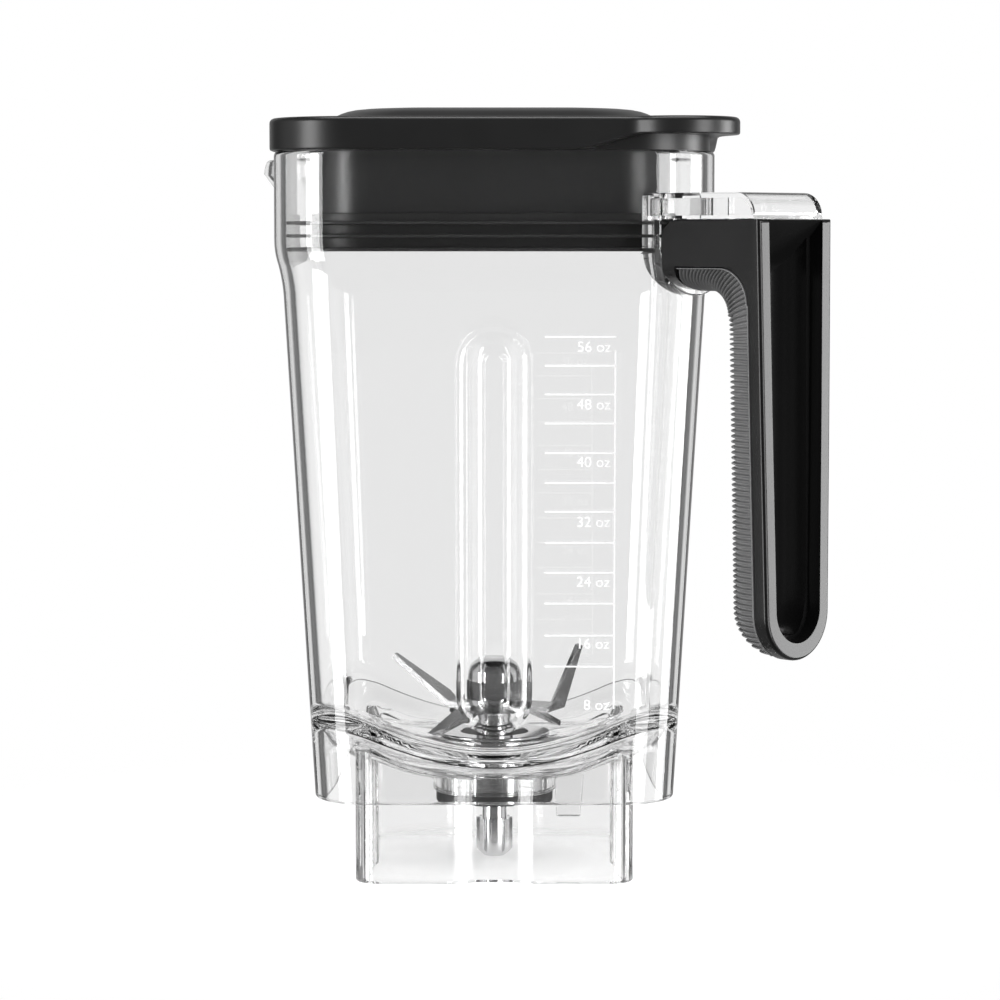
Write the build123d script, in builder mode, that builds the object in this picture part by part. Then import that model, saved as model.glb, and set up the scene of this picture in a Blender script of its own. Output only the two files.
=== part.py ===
from build123d import *
import os
from math import atan2, cos, degrees, radians, sin, sqrt, tan

os.makedirs("parts", exist_ok=True)

# Square blender jar. Millimetres, +Z up, origin on the drive axis in the plane of the collar's foot.
# The handle stands on the corner towards (+X, -Y) and the pouring nose on the opposite corner.

# Clear jar moulding
wall = 3.5
collar_half = 44.0
collar_corner = 7.5
collar_wall = 3.5
collar_recess_width = 24.0
collar_recess_depth = 2.8
collar_recess_flare = 5.0
skirt_lift = 27.4
skirt_half = 56.5
skirt_corner = 18.5
body_height = 163.1
shoulder_half = 65.7
shoulder_corner = 23.0
shoulder_rise = 8.5
rim_half = 68.2
rim_corner = 25.0
rim_height = 30.7

# Dished floor and its hub
floor_height = 39.0
floor_flat_radius = 46.0
floor_slope = 35.0
floor_bend = 20.0
floor_thickness = 4.5
hub_radius = 20.0

# Flutes pressed into the middle of the front and rear walls
flute_count = 2
flute_width = 20.4
flute_depth = 8.0
flute_draft = 38.0
flute_foot = 23.6
flute_length = 124.0
flute_wall = 3.0

# Pouring nose
nose_length = 9.4
nose_radius = 12.0
nose_start = 1.0
nose_bulge = 5.0
nose_curl = 2.0
nose_blend = 0.3
channel_start = 12.0

# Locating lug under the floor
lug_place = (24.5, 16.0)
lug_side = 11.0
lug_drop = 23.0
lug_draft = 4.0

# Lid
lid_seat_gap = 0.2
lid_overhang = 1.3
lid_thickness = 10.0
lid_wall = 2.6
lid_edge = 1.6
panel_margin = 17.3
panel_corner = 22.0
panel_rise = 4.2
panel_slope = 60.0
tab_radius = 19.0
tab_reach = 11.0
tab_thickness = 5.4
tab_inset = 2.8
plug_clearance = 9.7
plug_corner = 17.0
plug_depth = 30.4
seal_height = 11.5
seal_sleeve = 2.2
seal_fins = 3
fin_thickness = 1.0
fin_pitch = 4.0
fin_gap = 0.3

# Handle
arm_half = 16.5
arm_top = 13.0
arm_drop = 31.1
arm_cap_half = 15.75
arm_cap_height = 7.9
arm_cap_length = 37.3
arm_end_round = 7.0
tongue_half = 11.0
tongue_depth = 9.0
tongue_length = 22.9
tongue_gap = 0.15
handle_standoff = 1.7
handle_reach = 40.3
handle_height = 129.4
handle_lean = 2.3
handle_top_half = 16.8
handle_foot_half = 14.5
handle_round_start = 9.3
handle_belly = 21.4
handle_end_round = 6.0
seam_drop = 14.3
seam_corner = 11.0
seam_setback = 4.6
grip_standoff = 5.2
grip_arm_depth = 7.2
grip_depth = 17.0
grip_bend = 8.0
grip_thickness = 3.0
grip_groove = 0.7
grip_edge = 0.8
grip_gap = 0.2
grip_foot = 2.5
core_root = 2.0
grip_facets = 6
fan_steps = 10
rib_pitch = 1.62
recess_wall = 4.4
shell_wall = 2.5
recess_foot = 5.2
screw_radius = 2.0
screw_head_radius = 3.8
screw_head_height = 2.4
screw_length = 11.0
screw_spacing = 9.0
screw_count = 2
screw_cover = 0.4
screw_gap = 0.1

# Blade unit, from the shaft's collar upwards
blade_height = 48.6
blade_thickness = 1.8
blade_hub_radius = 9.5
blade_root_width = 13.0
blade_tip_width = 3.0
blade_bevel = 3.2
blade_edge = 0.35
upper_turn = -25.0
steep_bend_radius = 21.5
steep_angle = 68.0
steep_length = 22.6
shallow_bend_radius = 14.0
shallow_angle = 32.0
shallow_length = 26.4
lower_turn = 35.0
lower_bend_radius = 12.5
lower_angle = 27.0
lower_length = 15.0
washer_thickness = 1.4
nut_radius = 10.0
nut_hex_height = 5.6
nut_dome_height = 7.6
nut_dome_radius = 9.6
nut_dome_round = 6.0

# Shaft, bearings and drive
shaft_radius = 4.0
shaft_fit = 0.02
collar_radius = 6.0
collar_height = 5.6
seal_land_radius = 5.0
shaft_foot = 8.0
shaft_flat = 3.2
spigot_radius = 2.5
spigot_length = 9.0
housing_radius = 13.5
housing_fit = 0.15
flange_radius = 18.0
flange_thickness = 2.5
gasket_thickness = 1.0
bearing_radius = 11.0
bearing_width = 7.0
bearing_ring = 2.0
bearing_fit = 0.02
ball_radius = 1.9
ball_count = 7
ball_gap = 0.06
bearing_lip = 1.6
bearing_gap = 2.0
lip_seal_height = 3.0
lip_seal_fit = 0.06
running_gap = 0.3
nut_flange_radius = 19.0
nut_height = 3.8
nut_seat = 1.3
nut_thread_gap = 0.1
coupler_radius = 6.0
coupler_root = 4.7
coupler_height = 12.5
coupler_teeth = 8
coupler_chamfer = 1.2
circlip_height = 1.0
circlip_width = 1.6
circlip_groove = 0.7
spline_width = 2.2

# Heights and places that follow from the sizes above
shoulder_z = skirt_lift + body_height
rim_start_z = shoulder_z + shoulder_rise
rim_z = rim_start_z + rim_height
wall_tilt = degrees(atan2(shoulder_half - skirt_half, body_height))
handle_dir = Vector(1, -1, 0).normalized()
across_dir = Vector(1, 1, 0).normalized()
side_plane = Plane(origin=(0, 0, 0), x_dir=handle_dir, z_dir=-across_dir)
end_plane = Plane(origin=(0, 0, 0), x_dir=across_dir, z_dir=handle_dir)
handle_axis = Axis((0, 0, 0), handle_dir)
across_axis = Axis((0, 0, 0), across_dir)
beyond = 2.0 * rim_half
corner_reach = sqrt(2) * (rim_half - rim_corner) + rim_corner
nose_reach = corner_reach + nose_length
plug_half = rim_half - wall - plug_clearance
arm_cap_end = corner_reach + arm_cap_length
tongue_end = corner_reach + tongue_length
handle_start = corner_reach + handle_standoff
handle_back = corner_reach + handle_reach
grip_start = handle_start + grip_standoff
arm_top_z = rim_z - arm_top
arm_round_z = arm_top_z - arm_drop + arm_half
handle_top_z = arm_top_z - arm_cap_height
handle_foot_z = handle_top_z - handle_height
seam_z = handle_top_z - seam_drop
grip_arm_z = seam_z - grip_arm_depth
screw_head_z = grip_arm_z + grip_thickness + grip_gap + screw_cover
screw_places = [
    handle_dir * (tongue_end - screw_spacing * (step + 0.5)) for step in range(screw_count)
]
housing_top_z = floor_height + gasket_thickness + flange_thickness
upper_bearing_z = floor_height - bearing_width
lower_bearing_z = upper_bearing_z - bearing_gap - bearing_width
circlip_z = lower_bearing_z - circlip_height
shaft_foot_z = circlip_z - shaft_foot
coupler_foot_z = shaft_foot_z - coupler_height
hub_foot_z = lower_bearing_z + nut_seat
nut_foot_z = hub_foot_z - nut_height


def wall_half(height):
    """Half-width of the tapered wall at a height between skirt and shoulder."""
    share = (height - skirt_lift) / body_height
    return skirt_half + share * (shoulder_half - skirt_half)


def wall_corner(height):
    """Corner radius of the tapered wall at the same height."""
    share = (height - skirt_lift) / body_height
    return skirt_corner + share * (shoulder_corner - skirt_corner)


def write(builder, label):
    """Label a finished piece and write it."""
    builder.part.label = label
    export_step(builder.part, f"parts/{label}.step")


# Floor shapes: a flat disc that rises in a cone to the walls, above and below
floor_rise = tan(radians(floor_slope)) * (beyond - floor_flat_radius)
under_z = floor_height - floor_thickness
cone_top = floor_height + floor_rise

with BuildPart() as above_underside:
    with BuildSketch(Plane.XZ):
        with BuildLine():
            Polyline(
                (0, cone_top),
                (0, under_z),
                (floor_flat_radius, under_z),
                (beyond, under_z + floor_rise),
                (beyond, cone_top),
                close=True,
            )
        make_face()
    revolve(axis=Axis.Z)

with BuildPart() as below_floor:
    with BuildSketch(Plane.XZ):
        with BuildLine():
            Polyline(
                (0, 0),
                (0, floor_height),
                (floor_flat_radius, floor_height),
                (beyond, cone_top),
                (beyond, 0),
                close=True,
            )
        make_face()
    revolve(axis=Axis.Z)
    fillet(below_floor.edges().filter_by(GeomType.CIRCLE).group_by(Axis.Z)[1], floor_bend)

# Flute: a round-ended groove in the wall's outer face, and the rib that it makes inside
flute_middle = flute_foot + flute_length / 2
flute_face = Plane(
    origin=(0, -wall_half(skirt_lift + flute_middle), skirt_lift + flute_middle),
    x_dir=(1, 0, 0),
    z_dir=(0, -cos(radians(wall_tilt)), -sin(radians(wall_tilt))),
)

with BuildPart() as flute:
    with BuildSketch(flute_face):
        SlotOverall(flute_length, flute_width, rotation=90)
    extrude(amount=-flute_depth, taper=flute_draft)
    extrude(flute.faces().sort_by(Axis.Y)[0], amount=wall)
    fillet(flute.faces().sort_by(Axis.Y)[-1].edges(), wall)

with BuildPart() as flute_rib:
    with BuildSketch(flute_face):
        SlotOverall(flute_length + 2 * flute_wall, flute_width + 2 * flute_wall, rotation=90)
    extrude(amount=-flute_depth - wall, taper=flute_draft)
    fillet(flute_rib.faces().sort_by(Axis.Y)[-1].edges(), wall + flute_wall / 2)


# Pouring nose: the rear corner drawn out to a round lip, and the open channel inside it
nose_corner = -handle_dir * (corner_reach - rim_corner)
nose_root = corner_reach - nose_radius + nose_blend
nose_steps = (
    (rim_start_z + nose_start, nose_root),
    (rim_z - nose_bulge, nose_reach),
    (rim_z, nose_reach - nose_curl),
)
channel_steps = ((rim_start_z + channel_start, nose_root),) + nose_steps[1:]

with BuildPart() as nose:
    for height, reach in nose_steps:
        with BuildSketch(Plane.XY.offset(height)):
            with Locations(nose_corner):
                Circle(rim_corner)
            with Locations(-handle_dir * reach):
                Circle(nose_radius)
            make_hull()
    loft()

with BuildPart() as channel:
    for height, reach in channel_steps:
        with BuildSketch(Plane.XY.offset(height)):
            with Locations(nose_corner):
                Circle(rim_corner - wall)
            with Locations(-handle_dir * reach):
                Circle(nose_radius - wall)
            make_hull()
    loft()

# Inside of the jar: what the walls, the floor and the ribs leave free
with BuildPart() as drink_space:
    for height, half, corner in (
        (floor_height, wall_half(floor_height), wall_corner(floor_height)),
        (shoulder_z, shoulder_half, shoulder_corner),
        (rim_start_z, rim_half, rim_corner),
        (rim_z, rim_half, rim_corner),
    ):
        with BuildSketch(Plane.XY.offset(height)):
            RectangleRounded(2 * (half - wall), 2 * (half - wall), corner - wall)
    loft(ruled=True)
    add(below_floor.part, mode=Mode.SUBTRACT)
    with PolarLocations(0, flute_count):
        add(flute_rib.part, mode=Mode.SUBTRACT)

# Hollow under the floor, inside the skirt and outside the collar
with BuildPart() as skirt_space:
    for height in (skirt_lift, cone_top):
        with BuildSketch(Plane.XY.offset(height)):
            RectangleRounded(
                2 * (wall_half(height) - wall),
                2 * (wall_half(height) - wall),
                wall_corner(height) - wall,
            )
    loft(ruled=True)
    add(above_underside.part, mode=Mode.SUBTRACT)

# Collar outline: a square with a shallow flared recess in each side
with BuildSketch() as collar_outline:
    RectangleRounded(2 * collar_half, 2 * collar_half, collar_corner)
    with PolarLocations(collar_half, 4):
        Trapezoid(
            collar_recess_width + 2 * collar_recess_flare,
            2 * collar_recess_depth,
            degrees(atan2(collar_recess_depth, collar_recess_flare)),
            rotation=90,
            mode=Mode.SUBTRACT,
        )

with BuildPart() as collar_prism:
    add(collar_outline.sketch)
    extrude(amount=floor_height + floor_rise)

with BuildPart() as collar_space:
    with BuildSketch():
        add(collar_outline.sketch)
        offset(amount=-collar_wall, kind=Kind.INTERSECTION, mode=Mode.REPLACE)
    extrude(amount=floor_height)
    add(above_underside.part, mode=Mode.SUBTRACT)

# Arm for the handle: a deep round-bottomed root, a flat cap over the handle and a tongue inside it
with BuildPart() as handle_arm:
    with BuildSketch(end_plane.offset(rim_half)):
        with BuildLine():
            Line((-arm_half, arm_round_z), (-arm_half, arm_top_z))
            Line((-arm_half, arm_top_z), (arm_half, arm_top_z))
            Line((arm_half, arm_top_z), (arm_half, arm_round_z))
            RadiusArc((arm_half, arm_round_z), (-arm_half, arm_round_z), arm_half)
        make_face()
    extrude(amount=handle_start - tongue_gap - rim_half)
    with BuildSketch(end_plane.offset(rim_half)):
        with Locations((0, handle_top_z + arm_cap_height / 2)):
            Rectangle(2 * arm_cap_half, arm_cap_height)
    extrude(amount=arm_cap_end - rim_half)
    end_edges = handle_arm.edges().filter_by(across_axis).sort_by(handle_axis)[-2:]
    fillet(end_edges.sort_by(Axis.Z)[-1], arm_end_round)
    with BuildSketch(end_plane.offset(rim_half)):
        with Locations((0, handle_top_z - tongue_depth / 2)):
            Rectangle(2 * tongue_half, tongue_depth)
    extrude(amount=tongue_end - rim_half)
    with BuildSketch(Plane.XY.offset(screw_head_z)):
        with Locations(*screw_places):
            Circle(screw_radius)
    extrude(amount=screw_head_height + screw_length, mode=Mode.SUBTRACT)

# Clear jar: walls, skirt, collar, floor, nose and arm in one moulding
with BuildPart() as jar_body:
    for height, half, corner in (
        (skirt_lift, skirt_half, skirt_corner),
        (shoulder_z, shoulder_half, shoulder_corner),
        (rim_start_z, rim_half, rim_corner),
        (rim_z, rim_half, rim_corner),
    ):
        with BuildSketch(Plane.XY.offset(height)):
            RectangleRounded(2 * half, 2 * half, corner)
    loft(ruled=True)
    add(skirt_space.part, mode=Mode.SUBTRACT)
    add(collar_prism.part)
    add(collar_space.part, mode=Mode.SUBTRACT)
    with BuildSketch(Plane.XY.offset(floor_height)):
        Circle(hub_radius)
    extrude(amount=hub_foot_z - floor_height)
    with BuildSketch(Plane.XY.offset(under_z)):
        with Locations(lug_place):
            Rectangle(lug_side, lug_side)
    extrude(amount=-lug_drop, taper=lug_draft)
    add(handle_arm.part)
    add(nose.part)
    add(drink_space.part, mode=Mode.SUBTRACT)
    add(channel.part, mode=Mode.SUBTRACT)
    with PolarLocations(0, flute_count):
        add(flute.part, mode=Mode.SUBTRACT)
    with Locations((0, 0, floor_height)):
        Hole(housing_radius + housing_fit)
write(jar_body, "jar_body")

# Lid: a shallow cap with a raised panel, a thumb tab over the handle and a deep hollow plug
lid_z = rim_z + lid_seat_gap
lid_top_z = lid_z + lid_thickness
lid_half = rim_half + lid_overhang
lid_corner = rim_corner + lid_overhang
tab_z = lid_top_z - tab_thickness
tab_centre = sqrt(2) * (lid_half - lid_corner) + lid_corner + tab_reach - tab_radius
plug_foot_z = rim_z - plug_depth
lid_hollow = lid_half - tab_inset - lid_wall
panel_half = lid_half - panel_margin
panel_run = panel_rise * tan(radians(panel_slope))
panel_hollow = panel_half - panel_run
sweep_end = sqrt(2) * (lid_half - lid_corner) + lid_corner - tab_reach / 2
sweep_start = sweep_end - 3 * tab_thickness

with BuildPart() as tab_undercut:
    with BuildSketch(side_plane):
        with BuildLine():
            Bezier(
                (sweep_start, lid_z),
                (sweep_start + tab_thickness, lid_z),
                (sweep_end - tab_thickness, tab_z),
                (sweep_end, tab_z),
            )
            Polyline((sweep_end, tab_z), (beyond, tab_z), (beyond, lid_z), (sweep_start, lid_z))
        make_face()
    extrude(amount=beyond, both=True)
    with BuildSketch(Plane.XY.offset(lid_z)):
        RectangleRounded(
            2 * (lid_half - tab_inset), 2 * (lid_half - tab_inset), lid_corner - tab_inset
        )
    extrude(amount=lid_thickness, mode=Mode.SUBTRACT)

with BuildPart() as lid:
    with BuildSketch(Plane.XY.offset(lid_z)):
        RectangleRounded(2 * lid_half, 2 * lid_half, lid_corner)
    extrude(amount=lid_thickness)
    with BuildSketch(Plane.XY.offset(tab_z)):
        with Locations(handle_dir * (tab_centre - tab_radius)):
            Circle(tab_radius)
        with Locations(handle_dir * tab_centre):
            Circle(tab_radius)
        make_hull()
    extrude(amount=tab_thickness)
    add(tab_undercut.part, mode=Mode.SUBTRACT)
    fillet(lid.faces().sort_by(Axis.Z)[-1].outer_wire().edges(), lid_edge)
    with BuildSketch(Plane.XY.offset(lid_top_z)):
        RectangleRounded(2 * panel_half, 2 * panel_half, panel_corner)
    extrude(amount=panel_rise, taper=panel_slope)
    with BuildSketch(Plane.XY.offset(plug_foot_z)):
        RectangleRounded(2 * plug_half, 2 * plug_half, plug_corner)
    extrude(until=Until.NEXT)
    with BuildSketch(Plane.XY.offset(plug_foot_z)):
        RectangleRounded(
            2 * (plug_half - lid_wall), 2 * (plug_half - lid_wall), plug_corner - lid_wall
        )
    extrude(amount=lid_top_z - lid_wall - plug_foot_z, mode=Mode.SUBTRACT)
    with BuildSketch(Plane.XY.offset(lid_top_z - lid_wall)):
        RectangleRounded(2 * panel_hollow, 2 * panel_hollow, panel_corner - panel_run)
    extrude(amount=panel_rise, mode=Mode.SUBTRACT)
    with BuildSketch(Plane.XY.offset(lid_z)):
        RectangleRounded(2 * lid_hollow, 2 * lid_hollow, lid_corner - lid_half + lid_hollow)
        RectangleRounded(2 * plug_half, 2 * plug_half, plug_corner, mode=Mode.SUBTRACT)
    extrude(amount=lid_thickness - lid_wall, mode=Mode.SUBTRACT)
write(lid, "lid")

# Lid seal: a rubber sleeve on the foot of the plug with thin fins that wipe the jar's rim wall
seal_half = plug_half + seal_sleeve
fin_half = rim_half - wall - fin_gap
fin_corner = rim_corner - wall - fin_gap

with BuildPart() as lid_seal:
    with BuildSketch(Plane.XY.offset(plug_foot_z)):
        RectangleRounded(2 * seal_half, 2 * seal_half, plug_corner + seal_sleeve)
    extrude(amount=seal_height)
    for fin in range(seal_fins):
        with BuildSketch(Plane.XY.offset(plug_foot_z + fin * fin_pitch)):
            RectangleRounded(2 * fin_half, 2 * fin_half, fin_corner)
        extrude(amount=fin_thickness)
    with BuildSketch(Plane.XY.offset(plug_foot_z)):
        RectangleRounded(2 * plug_half, 2 * plug_half, plug_corner)
    extrude(amount=seal_height, mode=Mode.SUBTRACT)
write(lid_seal, "lid_seal")

# Handle seam: the line on each side where the smooth shell meets the soft grip, drawn in the
# handle's side view as distance along the handle and height
seam_top = handle_back - seam_setback
grip_top = seam_top - grip_depth


def lean(height):
    """How far the handle has leant outwards at a height."""
    return handle_lean * (handle_top_z - height) / handle_height


def handle_half(height):
    """Half-width of the handle, which narrows towards its foot."""
    share = (handle_top_z - height) / handle_height
    return handle_top_half + share * (handle_foot_half - handle_top_half)


def bent_path(start, bend, radius, share):
    """Point on a path that runs out level to a bend, turns down and ends where the bend ends."""
    level = bend[0] - radius - start
    whole = level + radius * radians(90)
    reached = share * whole
    if reached <= level:
        return (start + reached, bend[1])
    turn = (reached - level) / radius
    return (bend[0] - radius + radius * sin(turn), bend[1] - radius + radius * cos(turn))


def grip_half(height):
    """Half-width of the grip, a little inside the handle's sides and round at the foot."""
    below = handle_foot_z + handle_foot_half - height
    if below > 0:
        return sqrt(handle_foot_half**2 - below**2) - grip_edge
    return handle_half(height) - grip_edge


def fan_station(share):
    """Seam point, inner point and half-width of a grip section under the arm or round the bend."""
    seam = bent_path(grip_start, (seam_top, seam_z), seam_corner, share)
    inner = bent_path(handle_start + grip_thickness, (grip_top, grip_arm_z), grip_bend, share)
    return seam, inner, grip_half(seam[1])


def column_station(height):
    """The same for a level section of the upright grip."""
    return (seam_top + lean(height), height), (grip_top + lean(height), height), grip_half(height)


def station_plane(seam, inner, gap=0.0):
    """Plane of a grip section: its x runs from the seam to the inner edge, its y across."""
    inward = (handle_dir * (inner[0] - seam[0]) + Vector(0, 0, inner[1] - seam[1])).normalized()
    origin = handle_dir * seam[0] + Vector(0, 0, seam[1]) + inward * gap
    return Plane(origin=origin, x_dir=inward, z_dir=inward.cross(across_dir))


def half_round(seam, inner, half, inset):
    """Corners of a half-round section, drawn with flat facets, set in from the grip's surface."""
    depth = sqrt((inner[0] - seam[0]) ** 2 + (inner[1] - seam[1]) ** 2) - inset
    turns = [radians(90 - 180 * step / grip_facets) for step in range(grip_facets + 1)]
    return [(depth * cos(turn), (half - inset) * sin(turn)) for turn in turns]


column_top_z = grip_arm_z - grip_bend - rib_pitch
column_length = column_top_z - handle_foot_z - grip_foot
seat_stations = [fan_station(step / fan_steps) for step in range(fan_steps + 1)]
seat_stations += [
    column_station(height)
    for height in (column_top_z, handle_foot_z + handle_foot_half, handle_foot_z + grip_foot)
]


def seat_loft(stations, inset, root):
    """A run of plain half-round sections, set in all round and rooted behind the seam."""
    with BuildPart() as run:
        for seam, inner, half in stations:
            side = half - inset
            outline = half_round(seam, inner, half, inset)
            with BuildSketch(station_plane(seam, inner)):
                Polygon((-root, side), *outline, (-root, -side), align=None)
        loft(ruled=True)
    return run.part


# Outline of the handle from behind: narrowing sides and a round foot
with BuildPart() as handle_outline:
    with BuildSketch(end_plane):
        with BuildLine():
            foot_side = handle_foot_z + handle_foot_half
            Line((-handle_top_half, handle_top_z), (handle_top_half, handle_top_z))
            Line((handle_top_half, handle_top_z), (handle_foot_half, foot_side))
            RadiusArc((handle_foot_half, foot_side), (-handle_foot_half, foot_side), handle_foot_half)
            Line((-handle_foot_half, foot_side), (-handle_top_half, handle_top_z))
        make_face()
    extrude(amount=beyond)

grip_seat = seat_loft(seat_stations, -grip_gap, grip_gap)
grip_core = seat_loft(seat_stations, grip_thickness + grip_gap, core_root)
hollow_stations = [column_station(column_top_z), column_station(handle_foot_z + handle_foot_half)]
column_hollow = seat_loft(hollow_stations, grip_thickness + grip_gap + shell_wall, core_root)

# Handle shell: a round-bellied arm on the jar's tongue and an upright channel open at the back
belly_z = handle_top_z - handle_round_start
belly_depth = handle_belly - handle_round_start

with BuildPart() as handle_shell:
    with BuildSketch(end_plane.offset(handle_start)):
        with Locations((0, handle_top_z - handle_round_start / 2)):
            Rectangle(2 * handle_top_half, handle_round_start)
        with Locations((0, belly_z)):
            Ellipse(handle_top_half, belly_depth)
    extrude(amount=(seam_top + handle_back) / 2 - handle_start)
    fillet(handle_shell.edges().filter_by(across_axis).sort_by(handle_axis)[0], handle_end_round)
    with BuildSketch(side_plane):
        Polygon(
            (seam_top, handle_top_z),
            (handle_back, handle_top_z),
            (handle_back + handle_lean, handle_foot_z),
            (seam_top + handle_lean, handle_foot_z),
            align=None,
        )
    extrude(amount=handle_top_half, both=True)
    add(grip_seat, mode=Mode.SUBTRACT)
    add(grip_core)
    add(handle_outline.part, mode=Mode.INTERSECT)
    add(column_hollow, mode=Mode.SUBTRACT)
    with BuildSketch(end_plane.offset(seam_top)):
        with BuildLine():
            opening = handle_top_half - recess_wall
            opening_foot = handle_foot_half - recess_wall
            opening_side = handle_foot_z + recess_foot + opening_foot
            Line((-opening, handle_top_z), (opening, handle_top_z))
            Line((opening, handle_top_z), (opening_foot, opening_side))
            RadiusArc((opening_foot, opening_side), (-opening_foot, opening_side), opening_foot)
            Line((-opening_foot, opening_side), (-opening, handle_top_z))
        make_face()
    extrude(amount=beyond, mode=Mode.SUBTRACT)
    with BuildSketch(end_plane.offset(handle_start)):
        with Locations((0, handle_top_z - (tongue_depth + tongue_gap) / 2)):
            Rectangle(2 * (tongue_half + tongue_gap), tongue_depth + tongue_gap)
    extrude(amount=tongue_end + tongue_gap - handle_start, mode=Mode.SUBTRACT)
    with BuildSketch(Plane.XY.offset(screw_head_z - grip_thickness)):
        with Locations(*screw_places):
            Circle(screw_head_radius + screw_gap)
    extrude(amount=screw_head_height + grip_thickness, mode=Mode.SUBTRACT)
    with BuildSketch(Plane.XY.offset(screw_head_z)):
        with Locations(*screw_places):
            Circle(screw_radius + screw_gap)
    extrude(amount=screw_head_height + screw_length, mode=Mode.SUBTRACT)
write(handle_shell, "handle_shell")

# Soft grip: a half-round cover on the inside of the handle, lofted through a crest and a groove
# at every rib so that the ribs run across it and fan out round the bend
fan_length = seam_top - seam_corner - grip_start + seam_corner * radians(90)
fan_ribs = round(fan_length / rib_pitch)
column_ribs = int(column_length / rib_pitch)
rib_stations = [fan_station(half_rib / (2 * fan_ribs)) for half_rib in range(1, 2 * fan_ribs)]
rib_stations += [
    column_station(column_top_z - half_rib * rib_pitch / 2) for half_rib in range(2 * column_ribs + 1)
]

with BuildPart() as handle_grip:
    for index, (seam, inner, half) in enumerate(rib_stations):
        outside = half_round(seam, inner, half, grip_groove * (index % 2))
        inside = half_round(seam, inner, half, grip_thickness)
        with BuildSketch(station_plane(seam, inner, grip_gap)):
            Polygon(*outside, *reversed(inside), align=None)
    loft(ruled=True)
write(handle_grip, "handle_grip")

# Screws that hold the handle to the tongue, driven up from under the arm and covered by the grip
with BuildPart() as handle_screws:
    with BuildSketch(Plane.XY.offset(screw_head_z)):
        with Locations(*screw_places):
            Circle(screw_head_radius)
    extrude(amount=screw_head_height)
    with BuildSketch(Plane.XY.offset(screw_head_z + screw_head_height)):
        with Locations(*screw_places):
            Circle(screw_radius)
    extrude(amount=screw_length)
write(handle_screws, "handle_screws")


def cut_blade(height, turn, wings):
    """Bent steel blade: a hub with a flatted hole and a tapered wing each way, ground on one edge."""
    middle = Vector(0, 0, height + blade_thickness / 2)
    with BuildPart() as blade:
        with BuildSketch(Plane.XY.offset(height)):
            Circle(blade_hub_radius)
        extrude(amount=blade_thickness)
        for side, (bend_radius, angle, length) in enumerate(wings):
            heading = radians(turn + 180 * side)
            rise = radians(angle)
            outward = Vector(cos(heading), sin(heading), 0)
            along = outward * cos(rise) + Vector(0, 0, sin(rise))
            across = Vector(-sin(heading), cos(heading), 0)
            bend = middle + outward * bend_radius
            with BuildSketch(Plane(origin=middle, x_dir=across, z_dir=outward)):
                Rectangle(blade_root_width, blade_thickness)
            extrude(amount=bend_radius)
            with BuildSketch(Plane(origin=bend - across * (blade_root_width / 2), z_dir=across)):
                Circle(blade_thickness / 2)
            extrude(amount=blade_root_width)
            for reach, width in ((0, blade_root_width), (length, blade_tip_width)):
                bevel = blade_bevel * width / blade_root_width
                with BuildSketch(Plane(origin=bend + along * reach, x_dir=across, z_dir=along)):
                    Polygon(
                        (-width / 2, -blade_thickness / 2),
                        (width / 2, -blade_thickness / 2),
                        (width / 2, blade_thickness / 2),
                        (-width / 2 + bevel, blade_thickness / 2),
                        (-width / 2, -blade_thickness / 2 + blade_edge),
                        align=None,
                    )
            loft(ruled=True)
        with BuildSketch(Plane.XY.offset(height)):
            Circle(shaft_radius + shaft_fit)
            Rectangle(
                2 * (shaft_flat + shaft_fit), 2 * (shaft_radius + shaft_fit), mode=Mode.INTERSECT
            )
        extrude(amount=blade_thickness, mode=Mode.SUBTRACT)
    return blade


# Blades: the lower one sweeps down to the floor, the upper one up, one wing steeper than the other
lower_wing = (lower_bend_radius, -lower_angle, lower_length)
lower_blade = cut_blade(blade_height, lower_turn, (lower_wing, lower_wing))
write(lower_blade, "lower_blade")

upper_blade_z = blade_height + blade_thickness
steep_wing = (steep_bend_radius, steep_angle, steep_length)
shallow_wing = (shallow_bend_radius, shallow_angle, shallow_length)
upper_blade = cut_blade(upper_blade_z, upper_turn, (steep_wing, shallow_wing))
write(upper_blade, "upper_blade")

washer_z = upper_blade_z + blade_thickness
nut_z = washer_z + washer_thickness
nut_shoulder_z = nut_z + nut_hex_height
thread_top_z = nut_shoulder_z + nut_dome_height / 2

with BuildPart() as blade_washer:
    with BuildSketch(Plane.XY.offset(washer_z)):
        Circle(nut_radius)
        Circle(shaft_radius + shaft_fit, mode=Mode.SUBTRACT)
    extrude(amount=washer_thickness)
write(blade_washer, "blade_washer")

# Dome nut: hexagon below, blunt dome above, blind threaded hole
with BuildPart() as blade_dome_nut:
    with BuildSketch(Plane.XY.offset(nut_z)):
        RegularPolygon(nut_radius, 6)
    extrude(amount=nut_hex_height)
    with BuildSketch(Plane.XY.offset(nut_shoulder_z)):
        Circle(nut_dome_radius)
    extrude(amount=nut_dome_height)
    fillet(blade_dome_nut.faces().sort_by(Axis.Z)[-1].edges(), nut_dome_round)
    with BuildSketch(Plane.XY.offset(nut_z)):
        Circle(shaft_radius + shaft_fit)
    extrude(amount=thread_top_z - nut_z, mode=Mode.SUBTRACT)
write(blade_dome_nut, "blade_dome_nut")

# Stepped shaft: drive spigot, bearing seat, seal land, blade collar, flats for the blades and thread
shaft_collar_z = blade_height - collar_height
shaft_steps = (
    (shaft_foot_z - spigot_length, shaft_foot_z, spigot_radius),
    (shaft_foot_z, floor_height, shaft_radius),
    (floor_height, shaft_collar_z, seal_land_radius),
    (shaft_collar_z, blade_height, collar_radius),
    (washer_z, thread_top_z, shaft_radius),
)

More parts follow.
